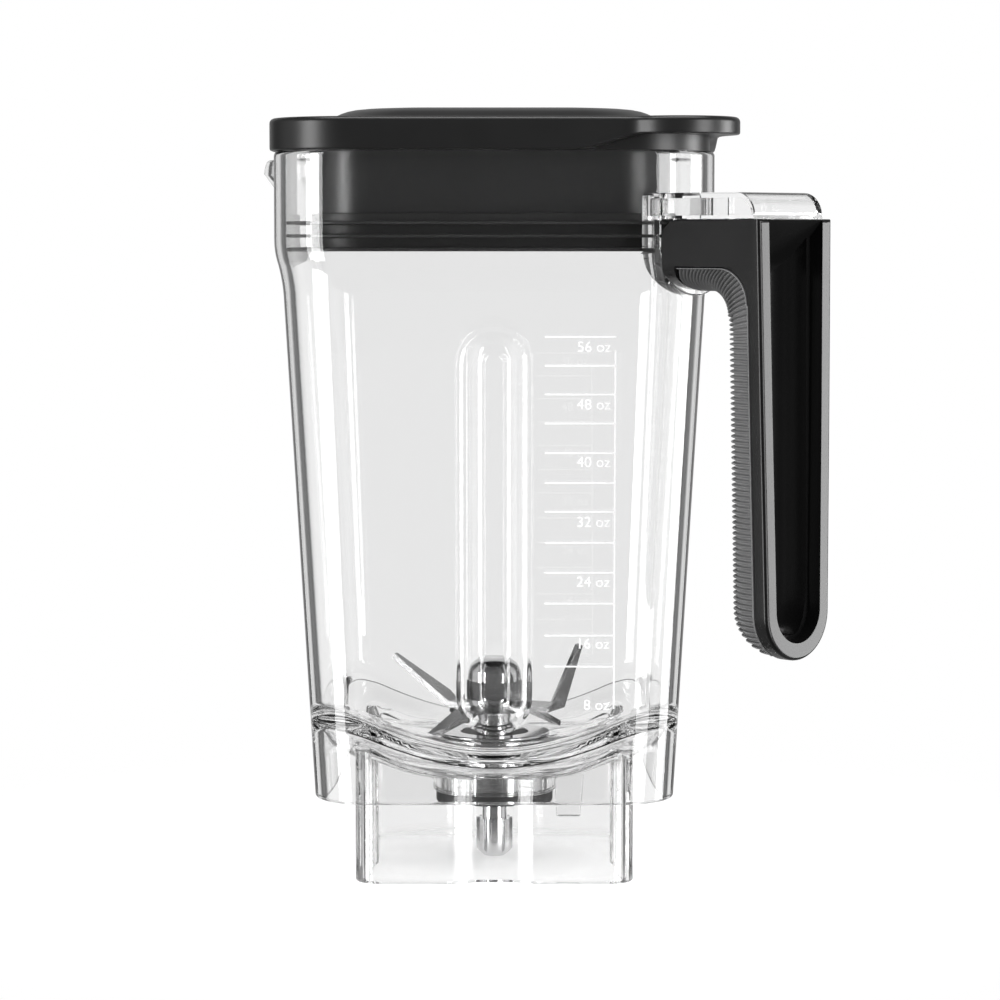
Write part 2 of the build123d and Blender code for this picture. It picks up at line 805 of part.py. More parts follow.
with BuildPart() as drive_shaft:
    for foot, top, radius in shaft_steps:
        with BuildSketch(Plane.XY.offset(foot)):
            Circle(radius)
        extrude(amount=top - foot)
    with BuildSketch(Plane.XY.offset(blade_height)):
        Circle(shaft_radius)
        Rectangle(2 * shaft_flat, 2 * shaft_radius, mode=Mode.INTERSECT)
    extrude(amount=washer_z - blade_height)
    with BuildSketch(Plane.XY.offset(circlip_z)):
        Circle(shaft_radius)
        Circle(shaft_radius - circlip_groove, mode=Mode.SUBTRACT)
    extrude(amount=circlip_height, mode=Mode.SUBTRACT)
write(drive_shaft, "drive_shaft")

with BuildPart() as shaft_circlip:
    with BuildSketch(Plane.XY.offset(circlip_z)):
        Circle(shaft_radius + circlip_width)
        Circle(shaft_radius - circlip_groove + shaft_fit, mode=Mode.SUBTRACT)
        with Locations((0, -shaft_radius)):
            Rectangle(circlip_width, 2 * shaft_radius, mode=Mode.SUBTRACT)
    extrude(amount=circlip_height)
write(shaft_circlip, "shaft_circlip")

# Splined coupler on the spigot, with a tapered nose that finds its way into the drive socket
with BuildPart() as drive_coupler:
    with BuildSketch(Plane.XY.offset(coupler_foot_z)):
        Circle(coupler_root)
        with PolarLocations(coupler_root, coupler_teeth):
            Rectangle(2 * (coupler_radius - coupler_root), spline_width)
    extrude(amount=coupler_height)
    with BuildSketch(Plane.XZ):
        Polygon(
            (0, coupler_foot_z),
            (coupler_root - coupler_chamfer, coupler_foot_z),
            (coupler_radius, coupler_foot_z + 2 * coupler_chamfer),
            (coupler_radius, shaft_foot_z),
            (0, shaft_foot_z),
            align=None,
        )
    revolve(axis=Axis.Z, mode=Mode.INTERSECT)
    with BuildSketch(Plane.XY.offset(shaft_foot_z)):
        Circle(spigot_radius + shaft_fit)
    extrude(amount=-spigot_length, mode=Mode.SUBTRACT)
write(drive_coupler, "drive_coupler")

# Bearing housing: a flanged sleeve through the jar's floor with a lip between its two bearing seats
housing_foot_z = nut_foot_z + running_gap
housing_bore = bearing_radius + bearing_fit
lip_z = lower_bearing_z + bearing_width

with BuildPart() as bearing_housing:
    with BuildSketch(Plane.XZ):
        with BuildLine():
            Polyline(
                (housing_bore, housing_foot_z),
                (housing_radius, housing_foot_z),
                (housing_radius, floor_height + gasket_thickness),
                (flange_radius, floor_height + gasket_thickness),
                (flange_radius, housing_top_z),
                (housing_bore, housing_top_z),
                (housing_bore, upper_bearing_z),
                (housing_bore - bearing_lip, upper_bearing_z),
                (housing_bore - bearing_lip, lip_z),
                (housing_bore, lip_z),
                close=True,
            )
        make_face()
    revolve(axis=Axis.Z)
write(bearing_housing, "bearing_housing")

with BuildPart() as floor_gasket:
    with BuildSketch(Plane.XY.offset(floor_height)):
        Circle(flange_radius)
        Circle(housing_radius + housing_fit, mode=Mode.SUBTRACT)
    extrude(amount=gasket_thickness)
write(floor_gasket, "floor_gasket")

with BuildPart() as retaining_nut:
    with BuildSketch(Plane.XY.offset(nut_foot_z)):
        Circle(nut_flange_radius)
        Circle(housing_radius + nut_thread_gap, mode=Mode.SUBTRACT)
    extrude(amount=nut_height)
write(retaining_nut, "retaining_nut")

# Lip seal: a stiff ring in the top of the housing with a lip that runs on the shaft's land
with BuildPart() as shaft_seal:
    with BuildSketch(Plane.XZ):
        Polygon(
            (bearing_radius, floor_height),
            (bearing_radius, floor_height + lip_seal_height),
            (seal_land_radius + lip_seal_fit, floor_height + lip_seal_height),
            (seal_land_radius + lip_seal_fit, floor_height + lip_seal_height / 2),
            (bearing_radius - bearing_lip, floor_height + lip_seal_height / 3),
            (bearing_radius - bearing_lip, floor_height),
            align=None,
        )
    revolve(axis=Axis.Z)
write(shaft_seal, "shaft_seal")

with BuildPart() as bearing_spacer:
    with BuildSketch(Plane.XY.offset(lip_z)):
        Circle(shaft_radius + bearing_ring)
        Circle(shaft_radius + shaft_fit, mode=Mode.SUBTRACT)
    extrude(amount=bearing_gap)
write(bearing_spacer, "bearing_spacer")

# Ball bearings: an outer ring, an inner ring and a ring of balls between their grooves
pitch_radius = (bearing_radius + shaft_radius) / 2


def bearing_ring_part(foot, inner_radius, outer_radius):
    """Plain ring with a ball groove in the face that looks at the balls."""
    with BuildPart() as ring:
        with BuildSketch(Plane.XY.offset(foot)):
            Circle(outer_radius)
            Circle(inner_radius, mode=Mode.SUBTRACT)
        extrude(amount=bearing_width)
        with Locations((0, 0, foot + bearing_width / 2)):
            Torus(pitch_radius, ball_radius + ball_gap, mode=Mode.SUBTRACT)
    return ring


for place, foot in (("upper", upper_bearing_z), ("lower", lower_bearing_z)):
    outer_ring = bearing_ring_part(foot, bearing_radius - bearing_ring, bearing_radius)
    write(outer_ring, f"{place}_bearing_outer_ring")
    inner_ring = bearing_ring_part(foot, shaft_radius + shaft_fit, shaft_radius + bearing_ring)
    write(inner_ring, f"{place}_bearing_inner_ring")
    with BuildPart() as balls:
        with Locations((0, 0, foot + bearing_width / 2)):
            with PolarLocations(pitch_radius, ball_count):
                Sphere(ball_radius)
    write(balls, f"{place}_bearing_balls")
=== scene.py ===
from math import acos, atan2, cos, hypot, pi, radians, sin, sqrt, tan

import bmesh
import bpy
from mathutils import Matrix, Vector


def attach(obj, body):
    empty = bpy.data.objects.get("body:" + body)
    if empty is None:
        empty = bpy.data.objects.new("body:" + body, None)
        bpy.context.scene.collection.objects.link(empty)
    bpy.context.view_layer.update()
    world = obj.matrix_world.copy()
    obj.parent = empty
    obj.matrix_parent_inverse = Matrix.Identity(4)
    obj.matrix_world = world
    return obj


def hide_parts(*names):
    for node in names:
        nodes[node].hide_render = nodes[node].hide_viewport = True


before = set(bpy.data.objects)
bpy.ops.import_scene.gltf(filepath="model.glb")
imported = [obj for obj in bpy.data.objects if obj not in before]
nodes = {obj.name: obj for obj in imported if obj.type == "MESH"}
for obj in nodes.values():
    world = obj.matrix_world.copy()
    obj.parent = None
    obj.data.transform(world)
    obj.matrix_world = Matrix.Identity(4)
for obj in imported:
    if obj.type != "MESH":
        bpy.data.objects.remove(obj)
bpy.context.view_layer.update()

# Clear jar: one thick injection moulding in water-white copolyester, drawn out ring by ring. Tapered square
# walls with a flute front and rear, a dished floor with a hub, a skirt, a square collar that seats on the
# drive base, a pouring nose on one corner and an arm for the handle on the opposite one.
mm = 0.001
wall = 3.5 * mm
skirt_z = 27.4 * mm
shoulder_z = 190.5 * mm
neck_z = 199.0 * mm
rim_z = 229.7 * mm
wall_stations = (
    (skirt_z, 56.5 * mm, 18.5 * mm),
    (shoulder_z, 65.7 * mm, 23.0 * mm),
    (neck_z, 68.2 * mm, 25.0 * mm),
    (rim_z, 68.2 * mm, 25.0 * mm),
)
floor_z = 39.0 * mm
floor_flat = 46.0 * mm
floor_slope = radians(35)
floor_bend = 20.0 * mm
floor_thickness = 4.5 * mm
floor_margin = 4.2 * mm
floor_shares = (0.35, 0.7, 1.0)
under_shares = (0.5,)
floor_radii = (46, 44, 42, 40, 30, 22)
floor_round = 48.0 * mm
under_round = 29.0 * mm
low_row_z = 38.0 * mm
inner_top_z = 184.0 * mm
meet_rounds = 30
hub_radius = 20.0 * mm
hub_foot_z = 24.3 * mm
bore_radius = 13.65 * mm
collar_half = 44.0 * mm
collar_corner = 7.5 * mm
collar_wall = 3.5 * mm
recess_depth = 2.8 * mm
recess_inner = 6.7 * mm
recess_outer = 12.1 * mm
recess_spread = 1.5 * mm
flute_half = 10.2 * mm
flute_depth = 5.0 * mm
flute_middle_z = 113.0 * mm
flute_straight = 51.8 * mm
flute_run = 6.25 * mm
flute_round = 1.9 * mm
rib_half = 10.9 * mm
flute_sides = (1, 3)
nose_centre = 95.5 * mm
nose_radius = 12.0 * mm
nose_start_z = neck_z + 1.0 * mm
nose_full_z = rim_z - 5.0 * mm
nose_bow = 1.4
nose_curl = 0.08
channel_start_z = neck_z + 8.0 * mm
nose_side = 1
flute_steps = (0, 1.4, 2.6, 3.1, 3.6, 4.1, 4.6, 5.1, 5.7, 6.7, 7.7, 8.7)
flute_steps += (9.3, 9.8, 10.3, 10.8, 11.3, 12.1, 13.6)
flute_columns = [step * mm for step in flute_steps]
plain_columns = (0.2, 0.45, 0.7, 0.88, 1.0)
corner_columns = 18


def wall_columns():
    """Every upright line of the jar's mesh: its side of the square, and its place along that side."""
    columns = []
    for side in range(4):
        half_side = [(offset, 0.0) for offset in flute_columns]
        half_side += [(flute_columns[-1], share) for share in plain_columns]
        columns += [(side, -1, offset, share, None) for offset, share in reversed(half_side)]
        columns += [(side, 1, offset, share, None) for offset, share in half_side[1:]]
        columns += [(side, 0, 0.0, 0.0, step / corner_columns) for step in range(1, corner_columns)]
    return columns


columns = wall_columns()


def on_side(side, out, along):
    """Point at a distance out from the axis and along one of the four sides."""
    for quarter in range(side):
        out, along = -along, out
    return out, along


def nose_outline(share, half, corner, inset):
    """Point on the corner drawn out to the nose, as (out, along) of the side before the corner."""
    reach = sqrt(2) * (half - corner)
    radius = nose_radius - inset
    root = (reach + corner * cos(pi / 4), corner * sin(pi / 4))
    centre = nose_centre
    span = hypot(centre - root[0], root[1])
    line = sqrt(span * span - radius * radius)
    turn = pi / 2 + atan2(root[1], centre - root[0]) - acos(radius / span)
    cap = radius * turn
    travel = (2 * share - 1) * (line + cap)
    if abs(travel) <= cap:
        angle = travel / radius
        along_diagonal = centre + radius * cos(angle)
        across = radius * sin(angle)
    else:
        back = (abs(travel) - cap) / line
        end = (centre + radius * cos(turn), radius * sin(turn))
        along_diagonal = end[0] + back * (root[0] - end[0])
        across = (end[1] + back * (root[1] - end[1])) * (1 if travel > 0 else -1)
    return (along_diagonal - across) / sqrt(2), (along_diagonal + across) / sqrt(2)


def outline_point(column, half, corner, push=0.0, nose=0.0, inset=0.0):
    """Point of a rounded square on one column, pushed in from the wall or out to the nose."""
    side, sign, offset, share, turn = column
    if turn is None:
        return on_side(side, half - push, sign * (offset + share * (half - corner - offset)))
    out = half - corner + corner * cos(turn * pi / 2)
    along = half - corner + corner * sin(turn * pi / 2)
    if side == nose_side and nose > 0:
        nose_out, nose_along = nose_outline(turn, half, corner, inset)
        out += nose * (nose_out - out)
        along += nose * (nose_along - along)
    return on_side(side, out, along)


def wall_size(z):
    """Half-width and corner radius of the outer wall at a height."""
    for (low, half, corner), (high, next_half, next_corner) in zip(wall_stations, wall_stations[1:]):
        if z <= high:
            share = (z - low) / (high - low)
            return half + share * (next_half - half), corner + share * (next_corner - corner)
    return wall_stations[-1][1:]


def ramp_area(share):
    """Area under a ramp that rises from 0 to 1 and stays there."""
    return 0.0 if share < 0 else share * share / 2 if share < 1 else share - 0.5


def flute_push(column, z, half_width):
    """Depth of the flute, or height of its rib inside: flat sloping sides, softly rounded."""
    side, sign, offset, share, turn = column
    if turn is not None or share > 0 or side not in flute_sides:
        return 0.0
    beyond = max(0.0, abs(z - flute_middle_z) - flute_straight)
    down = (half_width - hypot(offset, beyond)) / flute_run
    soft = flute_round / flute_run
    return flute_depth * (ramp_area(down + soft / 2) - ramp_area(down - soft / 2)) / soft


def nose_share(z, start):
    """How far the corner is drawn out at a height."""
    share = min(1.0, max(0.0, (z - start) / (nose_full_z - start)))
    curl = max(0.0, (z - nose_full_z) / (rim_z - nose_full_z))
    return share**nose_bow - nose_curl * curl * curl


def outer_point(column, z):
    half, corner = wall_size(z)
    push = flute_push(column, z, flute_half)
    x, y = outline_point(column, half, corner, push, nose_share(z, nose_start_z))
    return x, y, z


def inner_point(column, z):
    half, corner = wall_size(z)
    push = flute_push(column, z, rib_half)
    nose = nose_share(z, channel_start_z)
    x, y = outline_point(column, half - wall, corner - wall, push, nose, wall)
    return x, y, z


def dish(radius, flat_z):
    """Height of the dished floor, or of its underside, at a distance from the axis."""
    tangent = floor_bend * tan(floor_slope / 2)
    if radius <= floor_flat - tangent:
        return flat_z
    if radius >= floor_flat + tangent * cos(floor_slope):
        return flat_z + (radius - floor_flat) * tan(floor_slope)
    return flat_z + floor_bend - sqrt(floor_bend**2 - (radius - floor_flat + tangent) ** 2)


def on_dish(x, y, flat_z):
    return x, y, dish(hypot(x, y), flat_z)


def meet_dish(column, flat_z):
    """Where the inside of a wall meets the dished floor, or its underside, on one column."""
    z = flat_z
    for attempt in range(meet_rounds):
        half, corner = wall_size(z)
        x, y = outline_point(column, half - wall, corner - wall)
        z = dish(hypot(x, y), flat_z)
    return x, y, z


def collar_point(column, inset):
    """Point of the collar's outline, with the shallow flared recess in the middle of each side."""
    side, sign, offset, share, turn = column
    push = 0.0
    if turn is None and share == 0:
        spread = recess_spread if inset else 0.0
        flank = (recess_outer - offset + spread) / (recess_outer - recess_inner)
        push = recess_depth * max(0.0, min(1.0, flank))
    return outline_point(column, collar_half - inset, collar_corner - inset, push)


def circle_ring(radius, z):
    ring = []
    for column in columns:
        x, y = outline_point(column, *wall_stations[0][1:])
        scale = radius / hypot(x, y)
        ring.append((x * scale, y * scale, z))
    return ring


def between(ring, other, share):
    """Ring part of the way from one to another."""
    return [tuple(a + share * (b - a) for a, b in zip(p, q)) for p, q in zip(ring, other)]


flute_foot_rows = [flute_middle_z - flute_straight - step for step in reversed(flute_columns)]
flute_rows = [z * mm for z in (80, 100, 120, 140)]
flute_top_rows = [flute_middle_z + flute_straight + step for step in flute_columns]
body_rows = flute_foot_rows + flute_rows + flute_top_rows
nose_rows = [z * mm for z in (203, 206.5, 210, 213, 216, 218.5, 221, 223, 225, 227)]
under_z = floor_z - floor_thickness
floor_line = [meet_dish(column, floor_z) for column in columns]
under_line = [meet_dish(column, under_z) for column in columns]
middle_z = min(z for x, y, z in floor_line)


def inner_row(z):
    """Row of the inside wall, fanned so that the lowest rows follow the floor's edge."""
    share = (z - middle_z) / (inner_top_z - middle_z)
    heights = [start[2] + share * (inner_top_z - start[2]) for start in floor_line]
    return [inner_point(column, height) for column, height in zip(columns, heights)]


def wall_row(point, z):
    return [point(column, z) for column in columns]


def collar_row(inset, z=None):
    points = [collar_point(column, inset) for column in columns]
    if z is None:
        return [on_dish(x, y, under_z) for x, y in points]
    return [(x, y, z) for x, y in points]


def dish_circle(radius):
    """Round ring on the dished floor."""
    return [on_dish(x, y, floor_z) for x, y, z in circle_ring(radius, floor_z)]


def dish_rings(start, end, shares, flat_z):
    """Rings on the floor, or its underside, on the way from one ring to another."""
    return [[on_dish(x, y, flat_z) for x, y, z in between(start, end, share)] for share in shares]


floor_edge = []
for x, y, z in floor_line:
    scale = 1 - floor_margin / hypot(x, y)
    floor_edge.append(on_dish(x * scale, y * scale, floor_z))
floor_inner = dish_circle(floor_round)

rows = [("skirt foot", wall_row(outer_point, skirt_z)), ("", wall_row(outer_point, low_row_z))]
rows += [("", wall_row(outer_point, z)) for z in body_rows + [inner_top_z]]
rows += [("shoulder", wall_row(outer_point, shoulder_z)), ("neck", wall_row(outer_point, neck_z))]
rows += [("", wall_row(outer_point, z)) for z in nose_rows]
rows += [("rim", wall_row(outer_point, rim_z)), ("rim inside", wall_row(inner_point, rim_z))]
rows += [("", wall_row(inner_point, z)) for z in reversed(nose_rows)]
rows += [("neck inside", wall_row(inner_point, neck_z))]
rows += [("shoulder inside", wall_row(inner_point, shoulder_z))]
rows += [("", inner_row(z)) for z in [inner_top_z] + body_rows[::-1]]
rows += [("floor line", floor_line), ("", floor_edge)]
rows += [("", ring) for ring in dish_rings(floor_edge, floor_inner, floor_shares, floor_z)]
rows += [("", dish_circle(radius * mm)) for radius in floor_radii]
rows += [("bore", circle_ring(bore_radius, floor_z)), ("bore foot", circle_ring(bore_radius, hub_foot_z))]
rows += [("hub foot", circle_ring(hub_radius, hub_foot_z)), ("hub", circle_ring(hub_radius, under_z))]
rows += [("", circle_ring(under_round, under_z)), ("collar root", collar_row(collar_wall))]
rows += [("collar inside", collar_row(collar_wall, 0.0)), ("collar foot", collar_row(0.0, 0.0))]
rows += [("collar side", collar_row(0.0))]
rows += [("", ring) for ring in dish_rings(collar_row(0.0), under_line, under_shares, under_z)]
rows += [("skirt root", under_line), ("skirt inside", wall_row(inner_point, skirt_z))]


def extrude_rings(name, rings):
    """Circle drawn out through a run of rings with the same number of corners, left in edit mode."""
    bpy.ops.object.select_all(action="DESELECT")
    bpy.ops.mesh.primitive_circle_add(vertices=len(rings[0]), radius=wall)
    made = bpy.context.object
    made.name = name
    bpy.ops.object.mode_set(mode="EDIT")
    shape = bmesh.from_edit_mesh(made.data)
    ring = list(shape.verts)
    drawn = []
    for step, points in enumerate(rings):
        if step:
            bpy.ops.mesh.extrude_edges_move()
            ring = [next(e.other_vert(v) for e in v.link_edges if e.other_vert(v).select) for v in ring]
        for vert, point in zip(ring, points):
            vert.co = point
        drawn.append(ring)
    return made, shape, drawn


def close_mesh():
    """Turn the faces of the piece in edit mode outwards and leave edit mode."""
    bpy.ops.mesh.select_all(action="SELECT")
    bpy.ops.mesh.normals_make_consistent(inside=False)
    bpy.ops.object.mode_set(mode="OBJECT")


def loft(name, rings):
    """Closed piece through a run of rings, with its two ends filled."""
    made = extrude_rings(name, rings)[0]
    bpy.ops.mesh.select_all(action="SELECT")
    bpy.ops.mesh.fill_holes(sides=0)
    close_mesh()
    return made


clear_jar, shape, drawn = extrude_rings("clear_jar", [points for name, points in rows])
corners = {name: ring for (name, points), ring in zip(rows, drawn) if name}
bpy.ops.mesh.select_mode(type="EDGE")
bpy.ops.mesh.select_all(action="DESELECT")
for edge in shape.edges:
    edge.select = edge.is_boundary
bpy.ops.mesh.bridge_edge_loops()


def round_off(shape, ring, width, segments):
    """Round the edge that runs along a ring of corners."""
    bpy.ops.mesh.select_all(action="DESELECT")
    members = set(ring)
    for edge in shape.edges:
        edge.select = members.issuperset(edge.verts)
    bpy.ops.mesh.bevel(offset=width, segments=segments, affect="EDGES", clamp_overlap=True)


rounded_edges = {
    "skirt foot": (0.9, 4), "skirt inside": (0.9, 4), "skirt root": (2.0, 3), "collar side": (1.5, 3),
    "collar foot": (0.8, 4), "collar inside": (0.8, 4), "collar root": (1.5, 3), "hub": (1.5, 3),
    "hub foot": (0.5, 2), "bore foot": (0.4, 2), "bore": (0.4, 2), "floor line": (3.6, 5),
    "shoulder": (5.0, 5), "neck": (3.0, 4), "neck inside": (3.0, 4), "shoulder inside": (5.0, 5),
    "rim": (1.3, 5), "rim inside": (1.3, 5),
}
for name, (width, segments) in rounded_edges.items():
    round_off(shape, corners[name], width * mm, segments)
close_mesh()


def block(name, low, high):
    """Block between two opposite corners."""
    bpy.ops.object.select_all(action="DESELECT")
    bpy.ops.mesh.primitive_cube_add(size=1)
    made = bpy.context.object
    made.name = name
    for vert in made.data.vertices:
        vert.co = [a + (c + 0.5) * (b - a) for a, b, c in zip(low, high, vert.co)]
    return made


def bevel_where(piece, chosen, width, segments):
    """Round the edges of a piece whose two ends pass a test."""
    bpy.context.view_layer.objects.active = piece
    bpy.ops.object.mode_set(mode="EDIT")
    bpy.ops.mesh.select_mode(type="EDGE")
    bpy.ops.mesh.select_all(action="DESELECT")
    mesh = bmesh.from_edit_mesh(piece.data)
    for edge in mesh.edges:
        edge.select = chosen(*(vert.co for vert in edge.verts))
    bpy.ops.mesh.bevel(offset=width, segments=segments, affect="EDGES", clamp_overlap=True)
    bpy.ops.object.mode_set(mode="OBJECT")


def cut(piece, other, operation):
    """Join another piece to this one, or cut it away, and remove the other."""
    modifier = piece.modifiers.new("cut", "BOOLEAN")
    modifier.operation = operation
    modifier.solver = "MANIFOLD"
    modifier.object = other
    bpy.ops.object.select_all(action="DESELECT")
    piece.select_set(True)
    bpy.context.view_layer.objects.active = piece
    bpy.ops.object.modifier_apply(modifier=modifier.name)
    bpy.data.objects.remove(other)


arm_start = 66.0 * mm
arm_end = 87.6 * mm
arm_half = 16.5 * mm
arm_top_z = 216.7 * mm
arm_foot_z = arm_top_z - 31.1 * mm
arm_belly = arm_half - 0.05 * mm
arm_edge = 0.8 * mm
top_edge = 1.2 * mm
cap_start = arm_start + mm
cap_end = 123.4 * mm
cap_half = 15.75 * mm
cap_foot_z = 209.0 * mm
cap_top_z = arm_top_z - 0.02 * mm
cap_round = 7.0 * mm
cap_wall = 1.6 * mm
hollow_start = arm_end - 5.5 * mm
hollow_foot_z = cap_foot_z + 0.9 * mm
tongue_start = arm_start + 2 * mm
tongue_end = 109.0 * mm
tongue_half = 11.0 * mm
tongue_foot_z = 199.8 * mm
mouth_foot_z = 150.0 * mm
mouth_top_z = rim_z + 20 * mm
to_handle = Matrix.Rotation(radians(-45), 4, "Z")


def lengthwise(a, b):
    """Whether an edge of the arm runs out from the jar or upright, not across."""
    return abs(a.y - b.y) < 0.1 * mm


arm = block("arm", (arm_start, -arm_half, arm_foot_z), (arm_end, arm_half, arm_top_z))
bevel_where(arm, lambda a, b: max(a.z, b.z) < arm_foot_z + mm and lengthwise(a, b), arm_belly, 16)
bevel_where(arm, lambda a, b: min(a.z, b.z) > arm_top_z - mm and lengthwise(a, b), top_edge, 4)
bevel_where(arm, lambda a, b: min(a.x, b.x) > arm_end - 0.1 * mm, arm_edge, 3)
cap = block("cap", (cap_start, -cap_half, cap_foot_z), (cap_end, cap_half, cap_top_z))
bevel_where(
    cap, lambda a, b: min(a.x, b.x) > cap_end - mm and min(a.z, b.z) > arm_top_z - mm, cap_round, 10
)
bevel_where(
    cap,
    lambda a, b: lengthwise(a, b) and max(a.z, b.z) > cap_foot_z + mm and max(a.x, b.x) > cap_start + mm,
    top_edge,
    4,
)
tongue_low = (tongue_start, -tongue_half, tongue_foot_z)
tongue = block("tongue", tongue_low, (tongue_end, tongue_half, cap_foot_z + mm))
bevel_where(
    tongue, lambda a, b: min(a.x, b.x) > tongue_end - mm or max(a.z, b.z) < tongue_foot_z + mm, arm_edge, 3
)
cut(arm, cap, "UNION")
cut(arm, tongue, "UNION")
hollow = block(
    "hollow",
    (hollow_start, cap_wall - cap_half, hollow_foot_z),
    (cap_end - cap_wall, cap_half - cap_wall, cap_top_z - cap_wall),
)
bevel_where(
    hollow,
    lambda a, b: min(a.x, b.x) > cap_end - 4 * mm and min(a.z, b.z) > cap_top_z - 3 * mm,
    cap_round - cap_wall,
    8,
)
cut(arm, hollow, "DIFFERENCE")
arm.data.transform(to_handle)
mouth_rings = []
for z in (mouth_foot_z, shoulder_z, neck_z, mouth_top_z):
    half, corner = wall_size(min(z, rim_z))
    places = [outline_point(column, half - wall / 2, corner - wall / 2) for column in columns]
    mouth_rings.append([(x, y, z) for x, y in places])
cut(arm, loft("mouth", mouth_rings), "DIFFERENCE")
cut(clear_jar, arm, "UNION")

lug_place = (24.5 * mm, 16.0 * mm)
lug_half = 5.5 * mm
lug_foot_z = under_z - 23.0 * mm
lug_root_z = under_z + 1.5 * mm
lug_taper = 1.6 * mm
lug_edge = 0.7 * mm
lug = block(
    "lug",
    (lug_place[0] - lug_half, lug_place[1] - lug_half, lug_foot_z),
    (lug_place[0] + lug_half, lug_place[1] + lug_half, lug_root_z),
)
for vert in lug.data.vertices:
    if vert.co.z < under_z - mm:
        vert.co.x += lug_taper if vert.co.x < lug_place[0] else -lug_taper
        vert.co.y += lug_taper if vert.co.y < lug_place[1] else -lug_taper
bevel_where(lug, lambda a, b: min(a.z, b.z) < under_z - mm, lug_edge, 3)
cut(clear_jar, lug, "UNION")


def shade(piece):
    """Smooth a finished piece, with flat faces left flat next to their rounded edges."""
    bpy.ops.object.select_all(action="DESELECT")
    piece.select_set(True)
    bpy.context.view_layer.objects.active = piece
    bpy.ops.object.shade_smooth_by_angle(angle=radians(35))
    modifier = piece.modifiers.new("flats", "WEIGHTED_NORMAL")
    modifier.keep_sharp = True
    modifier.weight = 50
    bpy.ops.object.modifier_apply(modifier=modifier.name)


class Value:
    """A shader socket. Arithmetic on it adds Math nodes, and node() adds any other node."""

    def __init__(self, tree, socket):
        self.tree = tree
        self.socket = socket

    def node(self, kind, settings=None, inputs=None, output=0):
        """Add a node with its settings first, then the values or links of its sockets."""
        made = self.tree.nodes.new(kind)
        for name, setting in (settings or {}).items():
            if name == "stops":
                ramp = made.color_ramp.elements
                while len(ramp) < len(setting):
                    ramp.new(0.5)
                for stop, (position, tone) in zip(ramp, setting):
                    stop.position, stop.color = position, (tone, tone, tone, 1)
            else:
                setattr(made, name, setting)
        for name, value in (inputs or {}).items():
            if isinstance(value, Value):
                self.tree.links.new(value.socket, made.inputs[name])
            else:
                made.inputs[name].default_value = value
        return Value(self.tree, made.outputs[output])

    def maths(self, operation, first, second):
        return self.node("ShaderNodeMath", {"operation": operation}, {0: first, 1: second})

    def to(self, node, socket):
        """Feed this value into a socket of a node."""
        self.tree.links.new(self.socket, node.inputs[socket])

    def __add__(self, other):
        return self.maths("ADD", self, other)

    __radd__ = __add__

    def __mul__(self, other):
        return self.maths("MULTIPLY", self, other)

    __rmul__ = __mul__

    def __sub__(self, other):
        return self.maths("SUBTRACT", self, other)

    def __rsub__(self, other):
        return self.maths("SUBTRACT", other, self)


def new_finish(name, **settings):
    """A new material: its shader with the plain values set, and the place on the piece."""
    finish = bpy.data.materials.new(name)
    finish.use_nodes = True
    shader = finish.node_tree.nodes["Principled BSDF"]
    for socket, value in settings.items():
        shader.inputs[socket.replace("_", " ")].default_value = value
    coordinates = finish.node_tree.nodes.new("ShaderNodeTexCoord")
    return finish, shader, Value(finish.node_tree, coordinates.outputs["Object"])


def noise(place, scale, detail=2.0, roughness=0.5):
    inputs = {"Vector": place, "Scale": scale, "Detail": detail, "Roughness": roughness}
    return place.node("ShaderNodeTexNoise", None, inputs)


def bump(place, height, strength, distance, shader):
    inputs = {"Height": height, "Strength": strength, "Distance": distance}
    place.node("ShaderNodeBump", None, inputs).to(shader, "Normal")


def dress(piece, finish):
    piece.data.materials.clear()
    piece.data.materials.append(finish)


def fit(piece, finish, slot, body, *replaced):
    """Smooth a finished piece, give it its material and body, and hide the solids that it stands for. The
    slot is not used.
    """
    shade(piece)
    dress(piece, finish)
    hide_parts(*replaced)
    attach(piece, body)


def ray(tree, kind):
    """1 for rays of one kind and 0 for others."""
    return Value(tree, tree.nodes.new("ShaderNodeLightPath").outputs[f"Is {kind} Ray"])


clear_plastic, shader, place = new_finish(
    "clear_plastic", Base_Color=(0.985, 0.985, 0.985, 1), Transmission_Weight=1.0, IOR=1.53, Roughness=0.0
)
bump(place, noise(place, scale=45.0, detail=1.0), strength=0.05, distance=0.02 * mm, shader=shader)
tree = clear_plastic.node_tree
in_shadow = ray(tree, "Shadow")
solid = Value(tree, shader.outputs[0])
shadow_pass = place.node("ShaderNodeBsdfTransparent", None, {"Color": (0.865, 0.865, 0.865, 1)})
mixed = place.node("ShaderNodeMixShader", None, {0: in_shadow, 1: solid, 2: shadow_pass})
mixed.to(tree.nodes["Material Output"], "Surface")
fit(clear_jar, clear_plastic, "clear_plastic", "jar", "jar_body")

# Capacity scale on the front wall: short rules, one upright line and ounce figures, raised a little from
# the wall in the same moulding and left frosted, with a faint painted glow so that they show pale.
scale_foot_z = 40.0 * mm
scale_rise = 0.12 * mm
scale_root = 0.08 * mm
scale_line = 0.24 * mm
scale_left, scale_right = 15.5 * mm, 37.2 * mm
rule_heights = (173.2, 164.4, 155.6, 146.7, 137.6, 128.4, 119.5, 109.9, 100.6, 91.0, 81.0, 71.3)
line_heights = (58.0, 169.0)
figure_heights = {"56 oz": 170.0, "48 oz": 152.4, "40 oz": 134.7, "32 oz": 116.2, "24 oz": 97.6}
figure_heights |= {"16 oz": 78.3, "8 oz": 59.1}
figure_size = 4.6 * mm
figure_margin = 1.6 * mm
wall_lean = atan2(wall_stations[1][1] - wall_stations[0][1], shoulder_z - skirt_z)
to_front = Matrix.Translation((0, -wall_size(scale_foot_z)[0], scale_foot_z)) @ Matrix.Rotation(
    pi / 2 + wall_lean, 4, "X"
)


